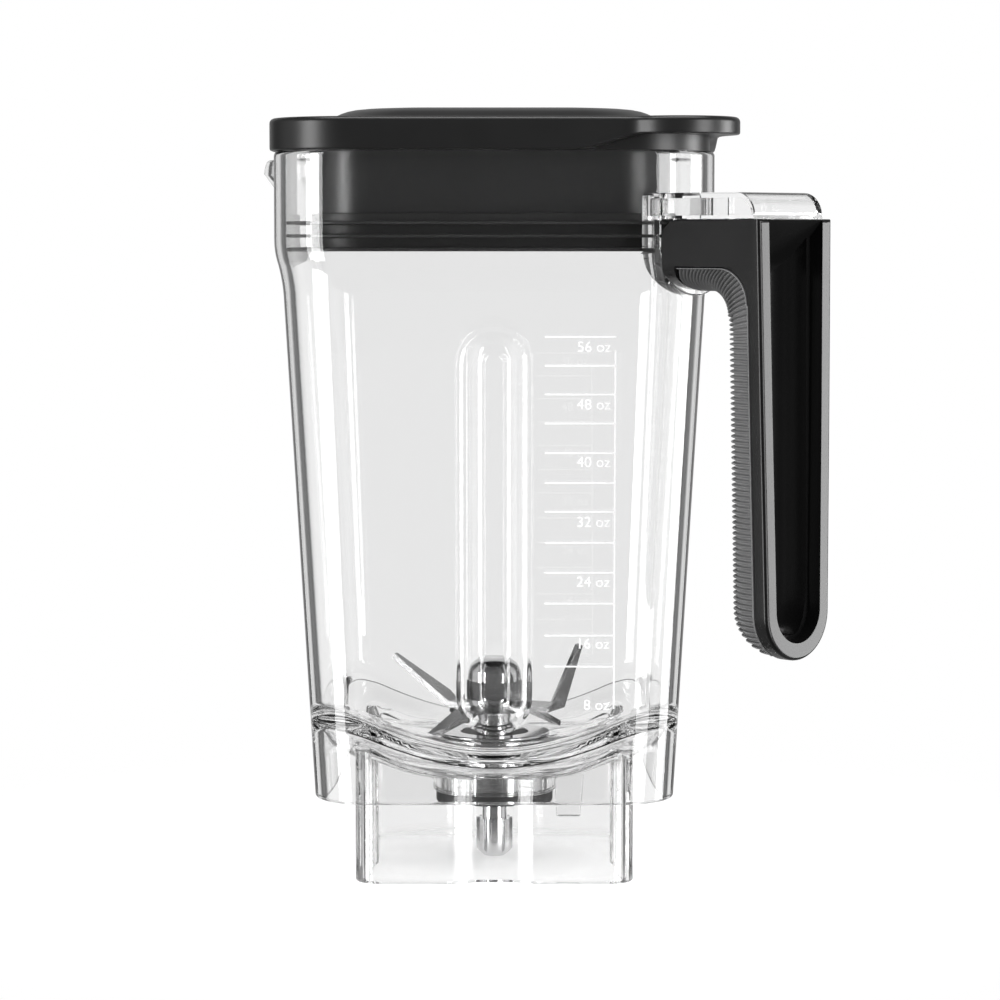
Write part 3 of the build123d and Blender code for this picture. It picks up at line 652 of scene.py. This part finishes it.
def up_the_wall(height):
    """Distance up the leaning front wall to a height in millimetres."""
    return (height * mm - scale_foot_z) / cos(wall_lean)


def mark(name, left, foot, top):
    """Bar of the scale, from its left end to the scale's right side."""
    return block(name, (left, foot, -scale_root), (scale_right, top, scale_rise))


marks = []
for height in rule_heights:
    rule = up_the_wall(height)
    marks.append(mark("rule", scale_left, rule - scale_line, rule + scale_line))
marks.append(mark("line", scale_right - 2 * scale_line, *(up_the_wall(height) for height in line_heights)))
for figure, height in figure_heights.items():
    bpy.ops.object.select_all(action="DESELECT")
    bpy.ops.object.text_add()
    written = bpy.context.object
    written.data.body = figure
    written.data.size = figure_size
    written.data.align_x = "RIGHT"
    written.data.align_y = "CENTER"
    written.data.extrude = (scale_rise + scale_root) / 2
    bpy.ops.object.convert(target="MESH")
    middle = (scale_right - figure_margin, up_the_wall(height), (scale_rise - scale_root) / 2)
    written.data.transform(Matrix.Translation(middle))
    marks.append(written)
bpy.ops.object.select_all(action="DESELECT")
for piece in marks:
    piece.select_set(True)
bpy.context.view_layer.objects.active = marks[0]
bpy.ops.object.join()
scale_marks = bpy.context.object
scale_marks.name = "scale_marks"
scale_marks.data.transform(to_front)
# Painted light: the frosted marks glow faintly, though they are no lamp, so that they show paler than the
# wall.
frosted, shader, place = new_finish(
    "frosted_plastic_painted_glow", Base_Color=(0.95, 0.95, 0.95, 1), Emission_Color=(1, 1, 1, 1), Emission_Strength=0.12
)
(noise(place, scale=1800.0) * 0.2 + 0.5).to(shader, "Roughness")
dress(scale_marks, frosted)
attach(scale_marks, "jar")


def copied(node, name, edge, finish, slot, body):
    """Piece copied from a solid, welded into clean faces, with its sharp edges broken, and fitted."""
    made = bpy.data.objects.new(name, nodes[node].data.copy())
    bpy.context.collection.objects.link(made)
    bpy.ops.object.select_all(action="DESELECT")
    made.select_set(True)
    bpy.context.view_layer.objects.active = made
    bpy.ops.object.mode_set(mode="EDIT")
    bpy.ops.mesh.select_all(action="SELECT")
    bpy.ops.mesh.remove_doubles(threshold=0.002 * mm)
    bpy.ops.mesh.dissolve_limited(angle_limit=radians(0.6))
    bpy.ops.object.mode_set(mode="OBJECT")
    modifier = made.modifiers.new("edges", "BEVEL")
    modifier.width = edge
    modifier.segments = 2
    modifier.limit_method = "ANGLE"
    modifier.angle_limit = radians(30)
    bpy.ops.object.modifier_apply(modifier=modifier.name)
    fit(made, finish, slot, body, node)


def drift(place, share, tone, dark, light, shader):
    """Let a shader's colour drift between a darker and a lighter shade of a tone."""
    ends = [(*(tone * part for part in parts), 1) for parts in (dark, light)]
    tint = place.node("ShaderNodeMix", {"data_type": "RGBA"}, {"Factor": share, 6: ends[0], 7: ends[1]}, 2)
    tint.to(shader, "Base Color")


def worked_steel(name, tone, roughness, stretch, turn=0.0, marks=0.06):
    """Bare steel with fine marks drawn out along the way it was turned, ground or brushed."""
    finish, shader, place = new_finish(name, Metallic=1.0)
    inputs = {"Vector": place, "Rotation": (0, 0, -turn), "Scale": stretch}
    drawn = noise(place.node("ShaderNodeMapping", None, inputs), 1.0, 3.0, 0.6)
    drift(place, drawn, tone, (0.82, 0.82, 0.83), (1.12, 1.12, 1.12), shader)
    (drawn * 0.16 + roughness).to(shader, "Roughness")
    bump(place, drawn, marks, 0.02 * mm, shader)
    return finish


turned_steel = worked_steel("turned_steel", tone=0.66, roughness=0.05, stretch=(60, 60, 5200))
plain_steel = worked_steel("plain_steel", tone=0.5, roughness=0.2, stretch=(900, 900, 900))
for name in (
    "bearing_spacer", "shaft_circlip", "upper_bearing_outer_ring", "upper_bearing_inner_ring",
    "upper_bearing_balls", "lower_bearing_outer_ring", "lower_bearing_inner_ring", "lower_bearing_balls",
):
    dress(nodes[name], plain_steel)


def black_moulding(name, tone, roughness, grain, depth, shine=0.5):
    """Black plastic or rubber with a fine moulded grain and slightly uneven gloss."""
    finish, shader, place = new_finish(name, Specular_IOR_Level=shine)
    cloud = noise(place, 60.0, 2.0)
    fine = noise(place, grain, 2.0, 0.6)
    drift(place, cloud, tone, (0.85, 0.85, 0.86), (1.15, 1.15, 1.16), shader)
    (cloud * 0.06 + fine * 0.08 + roughness).to(shader, "Roughness")
    bump(place, fine, 0.25, depth, shader)
    return finish


seal_rubber = black_moulding("seal_rubber", tone=0.006, roughness=0.42, grain=1500.0, depth=0.01 * mm)
for name in ("floor_gasket", "shaft_seal"):
    dress(nodes[name], seal_rubber)
nut_plastic = black_moulding("nut_plastic", tone=0.004, roughness=0.42, grain=1800.0, depth=0.008 * mm)
copied("bearing_housing", "bearing_body", 0.5 * mm, turned_steel, "housing_metal", "jar")
copied("retaining_nut", "floor_nut", 0.5 * mm, nut_plastic, "nut_plastic", "jar")
copied("drive_shaft", "blade_shaft", 0.25 * mm, turned_steel, "shaft_steel", "blade_unit")
copied("drive_coupler", "splined_coupler", 0.3 * mm, turned_steel, "polished_steel", "blade_unit")

# Blades: two strips of stainless steel, stamped, bent and ground to an edge, clamped on the shaft under a
# washer and a polished dome nut.
ground = {"roughness": 0.16, "stretch": (90, 2600, 2600), "marks": 0.12}
# Painted shade: both blades are one steel, given a tone far darker than bare steel for the dark that they
# mirror, and the down-swept blade a darker tone still.
upper_steel_painted_shade = worked_steel("upper_blade_steel", tone=0.26, turn=radians(-25), **ground)
lower_steel_painted_shade = worked_steel("lower_blade_steel", tone=0.17, turn=radians(35), **ground)
dome_steel = worked_steel("dome_steel", tone=0.6, roughness=0.05, stretch=(40, 40, 3000), marks=0.02)
copied("lower_blade", "down_swept_blade", 0.12 * mm, lower_steel_painted_shade, "blade_steel", "blade_unit")
copied("upper_blade", "up_swept_blade", 0.12 * mm, upper_steel_painted_shade, "blade_steel", "blade_unit")
copied("blade_washer", "clamp_washer", 0.2 * mm, turned_steel, "polished_steel", "blade_unit")
copied("blade_dome_nut", "dome_nut", 0.3 * mm, dome_steel, "polished_steel", "blade_unit")

# Handle shell: a black satin moulding that slides on the jar's tongue and is screwed from below. Its
# upright is a channel, open at the back, with broad flat rims and a sloping roof under the arm. The grip's
# seat is cut along its inside, and a core behind the seat closes the channel.
handle_top_z = 208.8 * mm
handle_foot_z = 77.4 * mm
handle_height = handle_top_z - handle_foot_z
handle_start = 87.79 * mm
handle_back = 126.39 * mm
handle_end_round = 6.0 * mm
seam_top = 121.8 * mm
handle_lean = 2.3 * mm
handle_top_half = 16.8 * mm
handle_foot_half = 14.5 * mm
belly_z = 195.4 * mm
belly_depth = 8.0 * mm
top_round = 0.7 * mm
end_edge = 0.8 * mm
upright_front = 114.0 * mm
rim_width = 4.4 * mm
rim_edge = 1.2 * mm
opening_reach = 8.0 * mm
opening_overlap = 0.3 * mm
channel_half = 10.8 * mm
channel_depth = 11.4 * mm
channel_foot = 5.2 * mm
channel_rows = ((84.5, 0.45), (86, 0.65), (89, 0.82), (94, 0.95), (102, 1.0))
roof_slope = 1.1
slot_gap = 0.15 * mm


def lean(z):
    """How far the handle has leant outwards at a height."""
    return handle_lean * (handle_top_z - z) / handle_height


def handle_half(z):
    """Half-width of the handle, which narrows towards its foot."""
    return handle_top_half + (handle_top_z - z) / handle_height * (handle_foot_half - handle_top_half)


def roof_z(out):
    """Height of the channel's sloping roof."""
    return handle_top_z - roof_slope * (handle_back - out)


def half_turn(steps):
    """Evenly spaced angles from one side of a half round to the other."""
    return [step * pi / steps for step in range(steps + 1)]


def upright_outline(inset, foot_lift):
    """Outline of the upright seen from behind: narrowing sides and a round foot."""
    foot = handle_foot_half - inset
    side_z = handle_foot_z + foot_lift + foot
    outline = [(foot * cos(turn), side_z - foot * sin(turn)) for turn in half_turn(32)]
    middle_z = (side_z + handle_top_z) / 2
    outline += [(inset - handle_half(z), z) for z in (middle_z, handle_top_z)]
    return outline + [(handle_half(z) - inset, z) for z in (handle_top_z, middle_z)]


def arm_ring(out, top_z):
    """Ring of the arm: a round belly, upright sides and small rounds along the top."""
    side_half = handle_half(belly_z)
    loop = [(side_half * cos(turn), belly_z - belly_depth * sin(turn)) for turn in half_turn(32)]
    for sign, turns in ((-1, (0, 30, 60, 90)), (1, (90, 60, 30, 0))):
        for turn in turns:
            across = handle_half(top_z) - top_round * (1 - cos(radians(turn)))
            loop.append((sign * across, top_z - top_round * (1 - sin(radians(turn)))))
    return [(out, across, z) for across, z in loop]


arm_rings = []
for step in range(11):
    turn = radians(9 * step)
    out = handle_start + handle_end_round * (1 - cos(turn))
    arm_rings.append(arm_ring(out, handle_top_z - handle_end_round * (1 - sin(turn))))
shell = loft("shell", arm_rings + [arm_ring(seam_top + mm, handle_top_z)])
bevel_where(shell, lambda a, b: max(a.x, b.x) < handle_start + 0.01 * mm, end_edge, 3)
outside = upright_outline(0.0, 0.0)
front_ring = [(upright_front if z > handle_top_z - mm else seam_top + lean(z), c, z) for c, z in outside]
back_ring = [(handle_back + lean(z), c, z) for c, z in outside]
upright = loft("upright", [front_ring, back_ring])


def on_back(*ends):
    """Whether an edge lies in the upright's leaning back."""
    return all(end.x > handle_back + lean(end.z) - 0.1 * mm for end in ends)


bevel_where(upright, on_back, rim_edge, 4)
cut(shell, upright, "UNION")

seam_z = 194.5 * mm
seam_corner = 11.0 * mm
grip_start = 92.99 * mm
grip_arm_z = 187.3 * mm
grip_top = 104.8 * mm
grip_bend = 8.0 * mm
grip_thickness = 3.0 * mm
grip_gap = 0.2 * mm
grip_edge = 0.8 * mm
rib_pitch = 1.62 * mm
fan_ribs = 22
turn_ribs = 6
foot_ribs = 68
plain_run = 8
seat_reach = 2.0 * mm
seat_ribs = 76
core_root = 2.0 * mm
core_ribs = 84


def bent_path(start, bend, radius, share):
    """Point on a path that runs out level to a bend, turns down and ends where the bend ends."""
    level = bend[0] - radius - start
    reached = share * (level + radius * pi / 2)
    if reached <= level:
        return start + reached, bend[1]
    turn = (reached - level) / radius
    return bend[0] - radius + radius * sin(turn), bend[1] - radius + radius * cos(turn)


def grip_share(z):
    """Share of the grip's size that is left at a height, where its foot is rounded off."""
    below = max(0.0, handle_foot_z + handle_foot_half - z)
    return sqrt(max(0.01, 1 - (below / handle_foot_half) ** 2))


def grip_station(ribs):
    """Seam point, inner point and half-width at a rib of the grip. The ribs level out below the bend."""
    share = min(1.0, ribs / fan_ribs)
    seam = bent_path(grip_start, (seam_top, seam_z), seam_corner, share)
    inner = bent_path(handle_start + grip_thickness, (grip_top, grip_arm_z), grip_bend, share)
    past = max(0.0, ribs - fan_ribs)
    levelled = (seam[1] - inner[1]) / 2 * min(1.0, past / turn_ribs)
    seam = (seam[0], seam[1] - past * rib_pitch - levelled)
    inner = (inner[0], inner[1] - past * rib_pitch + levelled)
    left = grip_share(seam[1])
    half = (handle_half(seam[1]) - grip_edge) * left
    if past == 0:
        return seam, inner, half
    out = seam_top + lean(seam[1])
    return (out, seam[1]), (out - (seam_top - grip_top) * left, inner[1]), half


def half_round(ribs, rounds, behind):
    """Loop at one place on the grip, from pairs of a turn round the section and an inset."""
    seam, inner, half = grip_station(ribs)
    depth = hypot(inner[0] - seam[0], inner[1] - seam[1])
    inward = ((inner[0] - seam[0]) / depth, (inner[1] - seam[1]) / depth)
    loop = []
    for turn, inset in rounds:
        reach = (depth - inset) * cos(radians(turn)) + behind
        across = (half - inset) * sin(radians(turn))
        loop.append((seam[0] + inward[0] * reach, across, seam[1] + inward[1] * reach))
    return loop


def half_round_core(name, inset, root, last):
    """Plain solid half-round run along the grip, set in all round and rooted behind the seam."""
    rounds = [(90.0 - 180.0 * step / 24, inset) for step in range(25)]
    rings = []
    for ribs in range(last + 1):
        if ribs <= fan_ribs + turn_ribs or ribs > foot_ribs or ribs % plain_run == 0:
            rings.append(half_round(ribs, rounds, 0.0) + half_round(ribs, (rounds[-1], rounds[0]), -root))
    return loft(name, rings)


cut(shell, half_round_core("seat", -seat_reach, grip_gap, seat_ribs), "DIFFERENCE")
cut(shell, half_round_core("core", grip_thickness + grip_gap, core_root, core_ribs), "UNION")
opening = upright_outline(rim_width, channel_foot)
opening_rings = []
for out in (handle_back + opening_reach, seam_top - opening_overlap):
    top = roof_z(out)
    opening_rings.append([(out + lean(z), c, top if z > handle_top_z - mm else z) for c, z in opening])
cut(shell, loft("opening", opening_rings), "DIFFERENCE")
plan = [(seam_top - channel_depth * sin(turn), channel_half * cos(turn)) for turn in half_turn(24)]
plan += [(seam_top + mm, -channel_half), (seam_top + mm, channel_half)]
channel_rings = []
for row, left in channel_rows:
    z = row * mm
    narrowed = left * handle_half(z) / handle_top_half
    mouth_out = seam_top + lean(z)
    channel_rings.append([(mouth_out + (out - seam_top) * left, c * narrowed, z) for out, c in plan])
channel_rings.append([(out, c, roof_z(out)) for out, c in plan])
cut(shell, loft("channel", channel_rings), "DIFFERENCE")
slot_low = (arm_start, -tongue_half - slot_gap, tongue_foot_z - slot_gap)
slot_high = (tongue_end + slot_gap, tongue_half + slot_gap, handle_top_z + mm)
cut(shell, block("slot", slot_low, slot_high), "DIFFERENCE")
shell.data.transform(to_handle)
handle_plastic = black_moulding(
    "handle_plastic", tone=0.006, roughness=0.17, grain=2600.0, depth=0.006 * mm, shine=0.36
)
fit(shell, handle_plastic, "handle_plastic", "jar", "handle_shell")
dress(nodes["handle_screws"], plain_steel)

# Soft grip: black rubber moulded over the inside of the handle, half round, with fine round ribs across it
# that fan out round the bend and stop at a thin raised bead along the seam. It sits in the shell's seat.
all_ribs = 86
groove_depth = 1.2 * mm
rib_share = 0.58
rib_rows = (-1.0, -0.58, -0.51, -0.33, 0.0, 0.33, 0.51, 0.58)
bead = ((90.0, 0.0), (88.8, 0.7 * mm), (87.6, 0.7 * mm), (86.4, -0.4 * mm))
section_turns = [85.0 - 170.0 * step / 30 for step in range(31)]
lining = [(15.0 * step - 90.0, grip_thickness) for step in range(13)]

sections = []
for rib in range(1, all_ribs):
    for row in rib_rows:
        swell = sqrt(max(0.0, 1 - (row / rib_share) ** 2))
        rounds = [(turn, -rise) for turn, rise in bead]
        rounds += [(turn, groove_depth * (1 - swell)) for turn in section_turns]
        rounds += [(-turn, -rise) for turn, rise in reversed(bead)]
        sections.append(half_round(rib + row / 2, rounds + lining, grip_gap))
grip = loft("ribbed_grip", sections)
grip.data.transform(to_handle)
# Painted sheen: the black rubber is given a grey tone so that it looks as bright as its sheen makes it.
grip_rubber = black_moulding("grip_rubber", tone=0.17, roughness=0.44, grain=1800.0, depth=0.01 * mm)
fit(grip, grip_rubber, "grip_rubber", "jar", "handle_grip")

# Lid: a black satin moulding with a softly domed panel, a thumb tab over the handle with its underside
# swept up from the rim, and a deep hollow plug that carries the wiper seal.
lid_z = 229.9 * mm
lid_top_z = 239.9 * mm
lid_half = 69.5 * mm
lid_corner = 26.3 * mm
lid_inset = 2.8 * mm
lid_edge = 1.6 * mm
lip_edge = 0.7 * mm
lip_step = 0.03 * mm
lid_hollow = 64.1 * mm
ceiling_z = 237.3 * mm
plug_half = 55.0 * mm
plug_corner = 17.0 * mm
plug_wall = 2.6 * mm
plug_foot_z = 199.3 * mm
plug_edge = 0.5 * mm
panel_hollow = 44.6 * mm
panel_rise = 4.0 * mm
tab_side = 3
tab_centre = 79.39 * mm
tab_radius = 19.0 * mm
tab_fillet = 10.0 * mm
tab_z = 234.5 * mm
tab_margin = 8.0 * mm
sweep_start = 65.69 * mm
sweep_end = 81.89 * mm
dome = ((53.4, 0.0), (52.2, 0.12), (51.0, 0.5), (49.6, 1.2), (48.0, 2.0), (46.2, 2.65), (44.0, 3.15))
dome += ((41.0, 3.5), (36.0, 3.8), (28.0, 4.0), (20.0, 4.08))
dome_straight = 30.2
dome_corner_share = 0.42
straight_shares = [step / 8 - 1 for step in range(17)]
plain_turns = [step / 16 for step in range(1, 16)]
tab_turns = [step / 64 for step in range(1, 64)]


def corner_path(half, corner, margin, share):
    """Point part of the way round a corner, from a margin before it to a margin after it."""
    arc = corner * pi / 2
    travel = share * (arc + 2 * margin)
    if travel < margin:
        return half, half - corner - margin + travel
    if travel > margin + arc:
        return half - corner - (travel - margin - arc), half
    angle = (travel - margin) / corner
    return half - corner + corner * cos(angle), half - corner + corner * sin(angle)


def tab_path(inset, share):
    """Point part of the way round the corner with the tab, filleted into the sides."""
    half, corner = lid_half - inset, lid_corner - inset
    radius, fillet = tab_radius - inset, tab_fillet + inset
    side_sum = sqrt(2) * half
    across_sum = side_sum + sqrt(2) * fillet - tab_centre
    across = (across_sum + sqrt(2 * (radius + fillet) ** 2 - across_sum**2)) / 2
    centre = (tab_centre + across_sum - across, across)
    start = ((2 * half - corner - tab_margin) / sqrt(2), (corner + tab_margin) / sqrt(2))
    touch = (centre[0] - fillet / sqrt(2), centre[1] - fillet / sqrt(2))
    line = hypot(touch[0] - start[0], touch[1] - start[1])
    rise = atan2(centre[1], centre[0] - tab_centre)
    sweep = rise - pi / 4
    lengths = (line, fillet * sweep, radius * rise)
    travel = (1 - abs(2 * share - 1)) * sum(lengths)
    if travel < lengths[0]:
        place = [a + (b - a) * travel / line for a, b in zip(start, touch)]
    elif travel < lengths[0] + lengths[1]:
        turn = 5 * pi / 4 + (travel - lengths[0]) / fillet
        place = [centre[0] + fillet * cos(turn), centre[1] + fillet * sin(turn)]
    else:
        turn = rise - (travel - lengths[0] - lengths[1]) / radius
        place = [tab_centre + radius * cos(turn), radius * sin(turn)]
    across = place[1] if share < 0.5 else -place[1]
    return (place[0] + across) / sqrt(2), (place[0] - across) / sqrt(2)


def lid_ring(half, corner, height, tab_inset=None):
    """Ring round the lid. The height may be a number, or follow the place along the tab's diagonal."""
    ring = []
    for side in range(4):
        before = tab_margin if side == (tab_side + 1) % 4 else 0.0
        after = tab_margin if side == tab_side else 0.0
        low, high = -(half - corner - before), half - corner - after
        places = [(half, low + (share + 1) / 2 * (high - low)) for share in straight_shares]
        if side != tab_side:
            places += [corner_path(half, corner, 0.0, share) for share in plain_turns]
        elif tab_inset is None:
            places += [corner_path(half, corner, tab_margin, share) for share in tab_turns]
        else:
            places += [tab_path(tab_inset, share) for share in tab_turns]
        ring += [on_side(side, *place) for place in places]
    if callable(height):
        return [(x, y, height((x - y) / sqrt(2))) for x, y in ring]
    return [(x, y, height) for x, y in ring]


def smooth_step(share):
    """Soft step from 0 to 1."""
    share = min(1.0, max(0.0, share))
    return share * share * (3 - 2 * share)


def swept_z(along):
    """Height of the rim's lower edge, which sweeps up under the tab."""
    return lid_z + (tab_z - lid_z) * smooth_step((along - sweep_start) / (sweep_end - sweep_start))


def rim_ring(inset, height):
    return lid_ring(lid_half - inset, lid_corner - inset, height, inset)


def swept_lip(rise):
    """Height a little above the rim's swept lower edge."""
    return lambda along: swept_z(along) + lip_step + rise


hollow_corner = lid_corner - lid_half + lid_hollow
bore_half, bore_corner = plug_half - plug_wall, plug_corner - plug_wall
lip = (lid_half - lid_inset, lid_corner - lid_inset)
lid_rows = [lid_ring(panel_hollow, bore_corner, z) for z in (ceiling_z + panel_rise, ceiling_z)]
lid_rows += [lid_ring(bore_half, bore_corner, z) for z in (ceiling_z, plug_foot_z + plug_edge)]
lid_rows += [lid_ring(bore_half + plug_edge, bore_corner + plug_edge, plug_foot_z)]
lid_rows += [lid_ring(plug_half - plug_edge, plug_corner - plug_edge, plug_foot_z)]
lid_rows += [lid_ring(plug_half, plug_corner, z) for z in (plug_foot_z + plug_edge, ceiling_z)]
lid_rows += [lid_ring(lid_hollow, hollow_corner, z) for z in (ceiling_z, lid_z)]
lid_rows += [lid_ring(*lip, lid_z), lid_ring(*lip, swept_lip(0.0))]
for turn in range(4):
    inset, rise = lip_edge * (1 - sin(turn * pi / 6)), lip_edge * (1 - cos(turn * pi / 6))
    lid_rows.append(rim_ring(inset, swept_lip(rise)))
for turn in range(7):
    inset, drop = lid_edge * (1 - cos(turn * pi / 12)), lid_edge * (1 - sin(turn * pi / 12))
    lid_rows.append(rim_ring(inset, lid_top_z - drop))
for half, rise in dome:
    corner = max(half - dome_straight, half * dome_corner_share)
    lid_rows.append(lid_ring(half * mm, corner * mm, lid_top_z + rise * mm))
lid = loft("satin_lid", lid_rows)
lid_plastic = black_moulding("lid_plastic", tone=0.011, roughness=0.27, grain=2600.0, depth=0.008 * mm)
fit(lid, lid_plastic, "lid_plastic", "lid", "lid")

# Wiper seal: a black rubber sleeve stretched on the foot of the plug, with three thin fins that rub on the
# inside of the jar's rim.
copied("lid_seal", "wiper_seal", 0.25 * mm, seal_rubber, "seal_rubber", "lid")

# Studio: a disc of pale paper that keeps the shadow and fades into a white surround, and soft lamps at the
# sides and overhead. Shiny surfaces mirror a darker room with a few bright panels.
floor_radius = 0.24
floor_drop = 0.2 * mm
fade_start, fade_end = 0.08, 0.23
camera_glow = 0.4
mirror_glow = 0.2
bpy.ops.object.select_all(action="DESELECT")
bpy.ops.mesh.primitive_circle_add(
    vertices=96, radius=floor_radius, fill_type="NGON", location=(0, 0, -floor_drop)
)
floor = bpy.context.object
floor.name = "floor"
paper, shader, place = new_finish("floor_paper", Base_Color=(0.9, 0.9, 0.9, 1), Roughness=0.9)
seen, mirrored = (ray(paper.node_tree, kind) for kind in ("Camera", "Glossy"))
distance = place.node("ShaderNodeVectorMath", {"operation": "LENGTH"}, {0: place}, "Value")


def fall(value, start, end, last):
    """Soft fall from 1 to a last value between two limits."""
    inputs = {"Value": value, "From Min": start, "From Max": end, "To Min": 1.0, "To Max": last}
    return value.node("ShaderNodeMapRange", {"interpolation_type": "SMOOTHSTEP"}, inputs)


fall(distance * (3 - 2 * seen), fade_start, fade_end, 0.0).to(shader, "Alpha")
(camera_glow * seen + mirror_glow * mirrored * (1 - seen)).to(shader, "Emission Color")
shader.inputs["Emission Strength"].default_value = 1.0
dress(floor, paper)

surround_stops = ((0.0, 0.95), (0.17, 0.95), (0.22, 0.12), (0.34, 0.12))
surround_stops += ((0.40, 0.8), (0.55, 0.8), (0.66, 0.12), (1.0, 0.12))
ceiling_start, ceiling_end = 0.40, 0.75
ceiling_level = 0.3
mirror_share = 0.5
ambient = 0.35
world = bpy.data.worlds.new("studio")
bpy.context.scene.world = world
world.use_nodes = True
tree = world.node_tree
background = tree.nodes["Background"]
direction = Value(tree, tree.nodes.new("ShaderNodeTexCoord").outputs["Generated"])
parts = tree.nodes.new("ShaderNodeSeparateXYZ")
direction.to(parts, 0)
across, depth, height = (Value(tree, socket) for socket in parts.outputs)
turned = across.maths("ARCTAN2", across.maths("ABSOLUTE", across, 0.0), depth) * (1 / pi)
surround = across.node("ShaderNodeValToRGB", {"stops": surround_stops}, {"Fac": turned})
ceiling = fall(height, ceiling_start, ceiling_end, ceiling_level)
seen, mirrored, through = (ray(tree, kind) for kind in ("Camera", "Glossy", "Transmission"))
backdrop = surround * (mirror_share * ceiling * (1 - through) + through)
level = ambient + seen * (1 - ambient) + mirrored * (1 - seen) * (backdrop - ambient)
level.to(background, "Color")


def softbox(name, place, target, size, watts):
    """A rectangular soft lamp that faces a point."""
    bpy.ops.object.select_all(action="DESELECT")
    bpy.ops.object.light_add(type="AREA", location=place)
    lamp = bpy.context.object
    lamp.name = name
    lamp.data.shape = "RECTANGLE"
    lamp.data.size, lamp.data.size_y = size
    lamp.data.energy = watts
    lamp.rotation_euler = (Vector(target) - Vector(place)).to_track_quat("-Z", "Y").to_euler()


softbox("left_strip", (-1.35, -0.81, 0.10), (0, 0, 0.10), size=(0.58, 1.2), watts=18.0)
softbox("right_strip", (0.58, -0.56, 0.08), (0, 0, 0.08), size=(0.34, 0.70), watts=5.0)
softbox("side_strip", (0.85, 0.06, 0.06), (0, 0, 0.06), size=(0.34, 0.6), watts=5.6)
bpy.context.object.visible_transmission = False
softbox("overhead", (0.0, -0.1, 0.95), (0, 0, 0.2), size=(0.8, 0.4), watts=4.5)

bpy.ops.object.camera_add(location=(0.0018, -1.036, 0.204))
camera = bpy.context.object
aim = Vector((0.0018, 0, 0.118)) - camera.location
camera.rotation_euler = aim.to_track_quat("-Z", "Y").to_euler()
camera.data.lens = 114.8
camera.data.sensor_width = 36
bpy.context.scene.camera = camera
bpy.context.scene.view_settings.view_transform = "Standard"
bpy.context.scene.cycles.max_bounces = 24
bpy.context.scene.cycles.transmission_bounces = 24
bpy.context.scene.cycles.glossy_bounces = 12
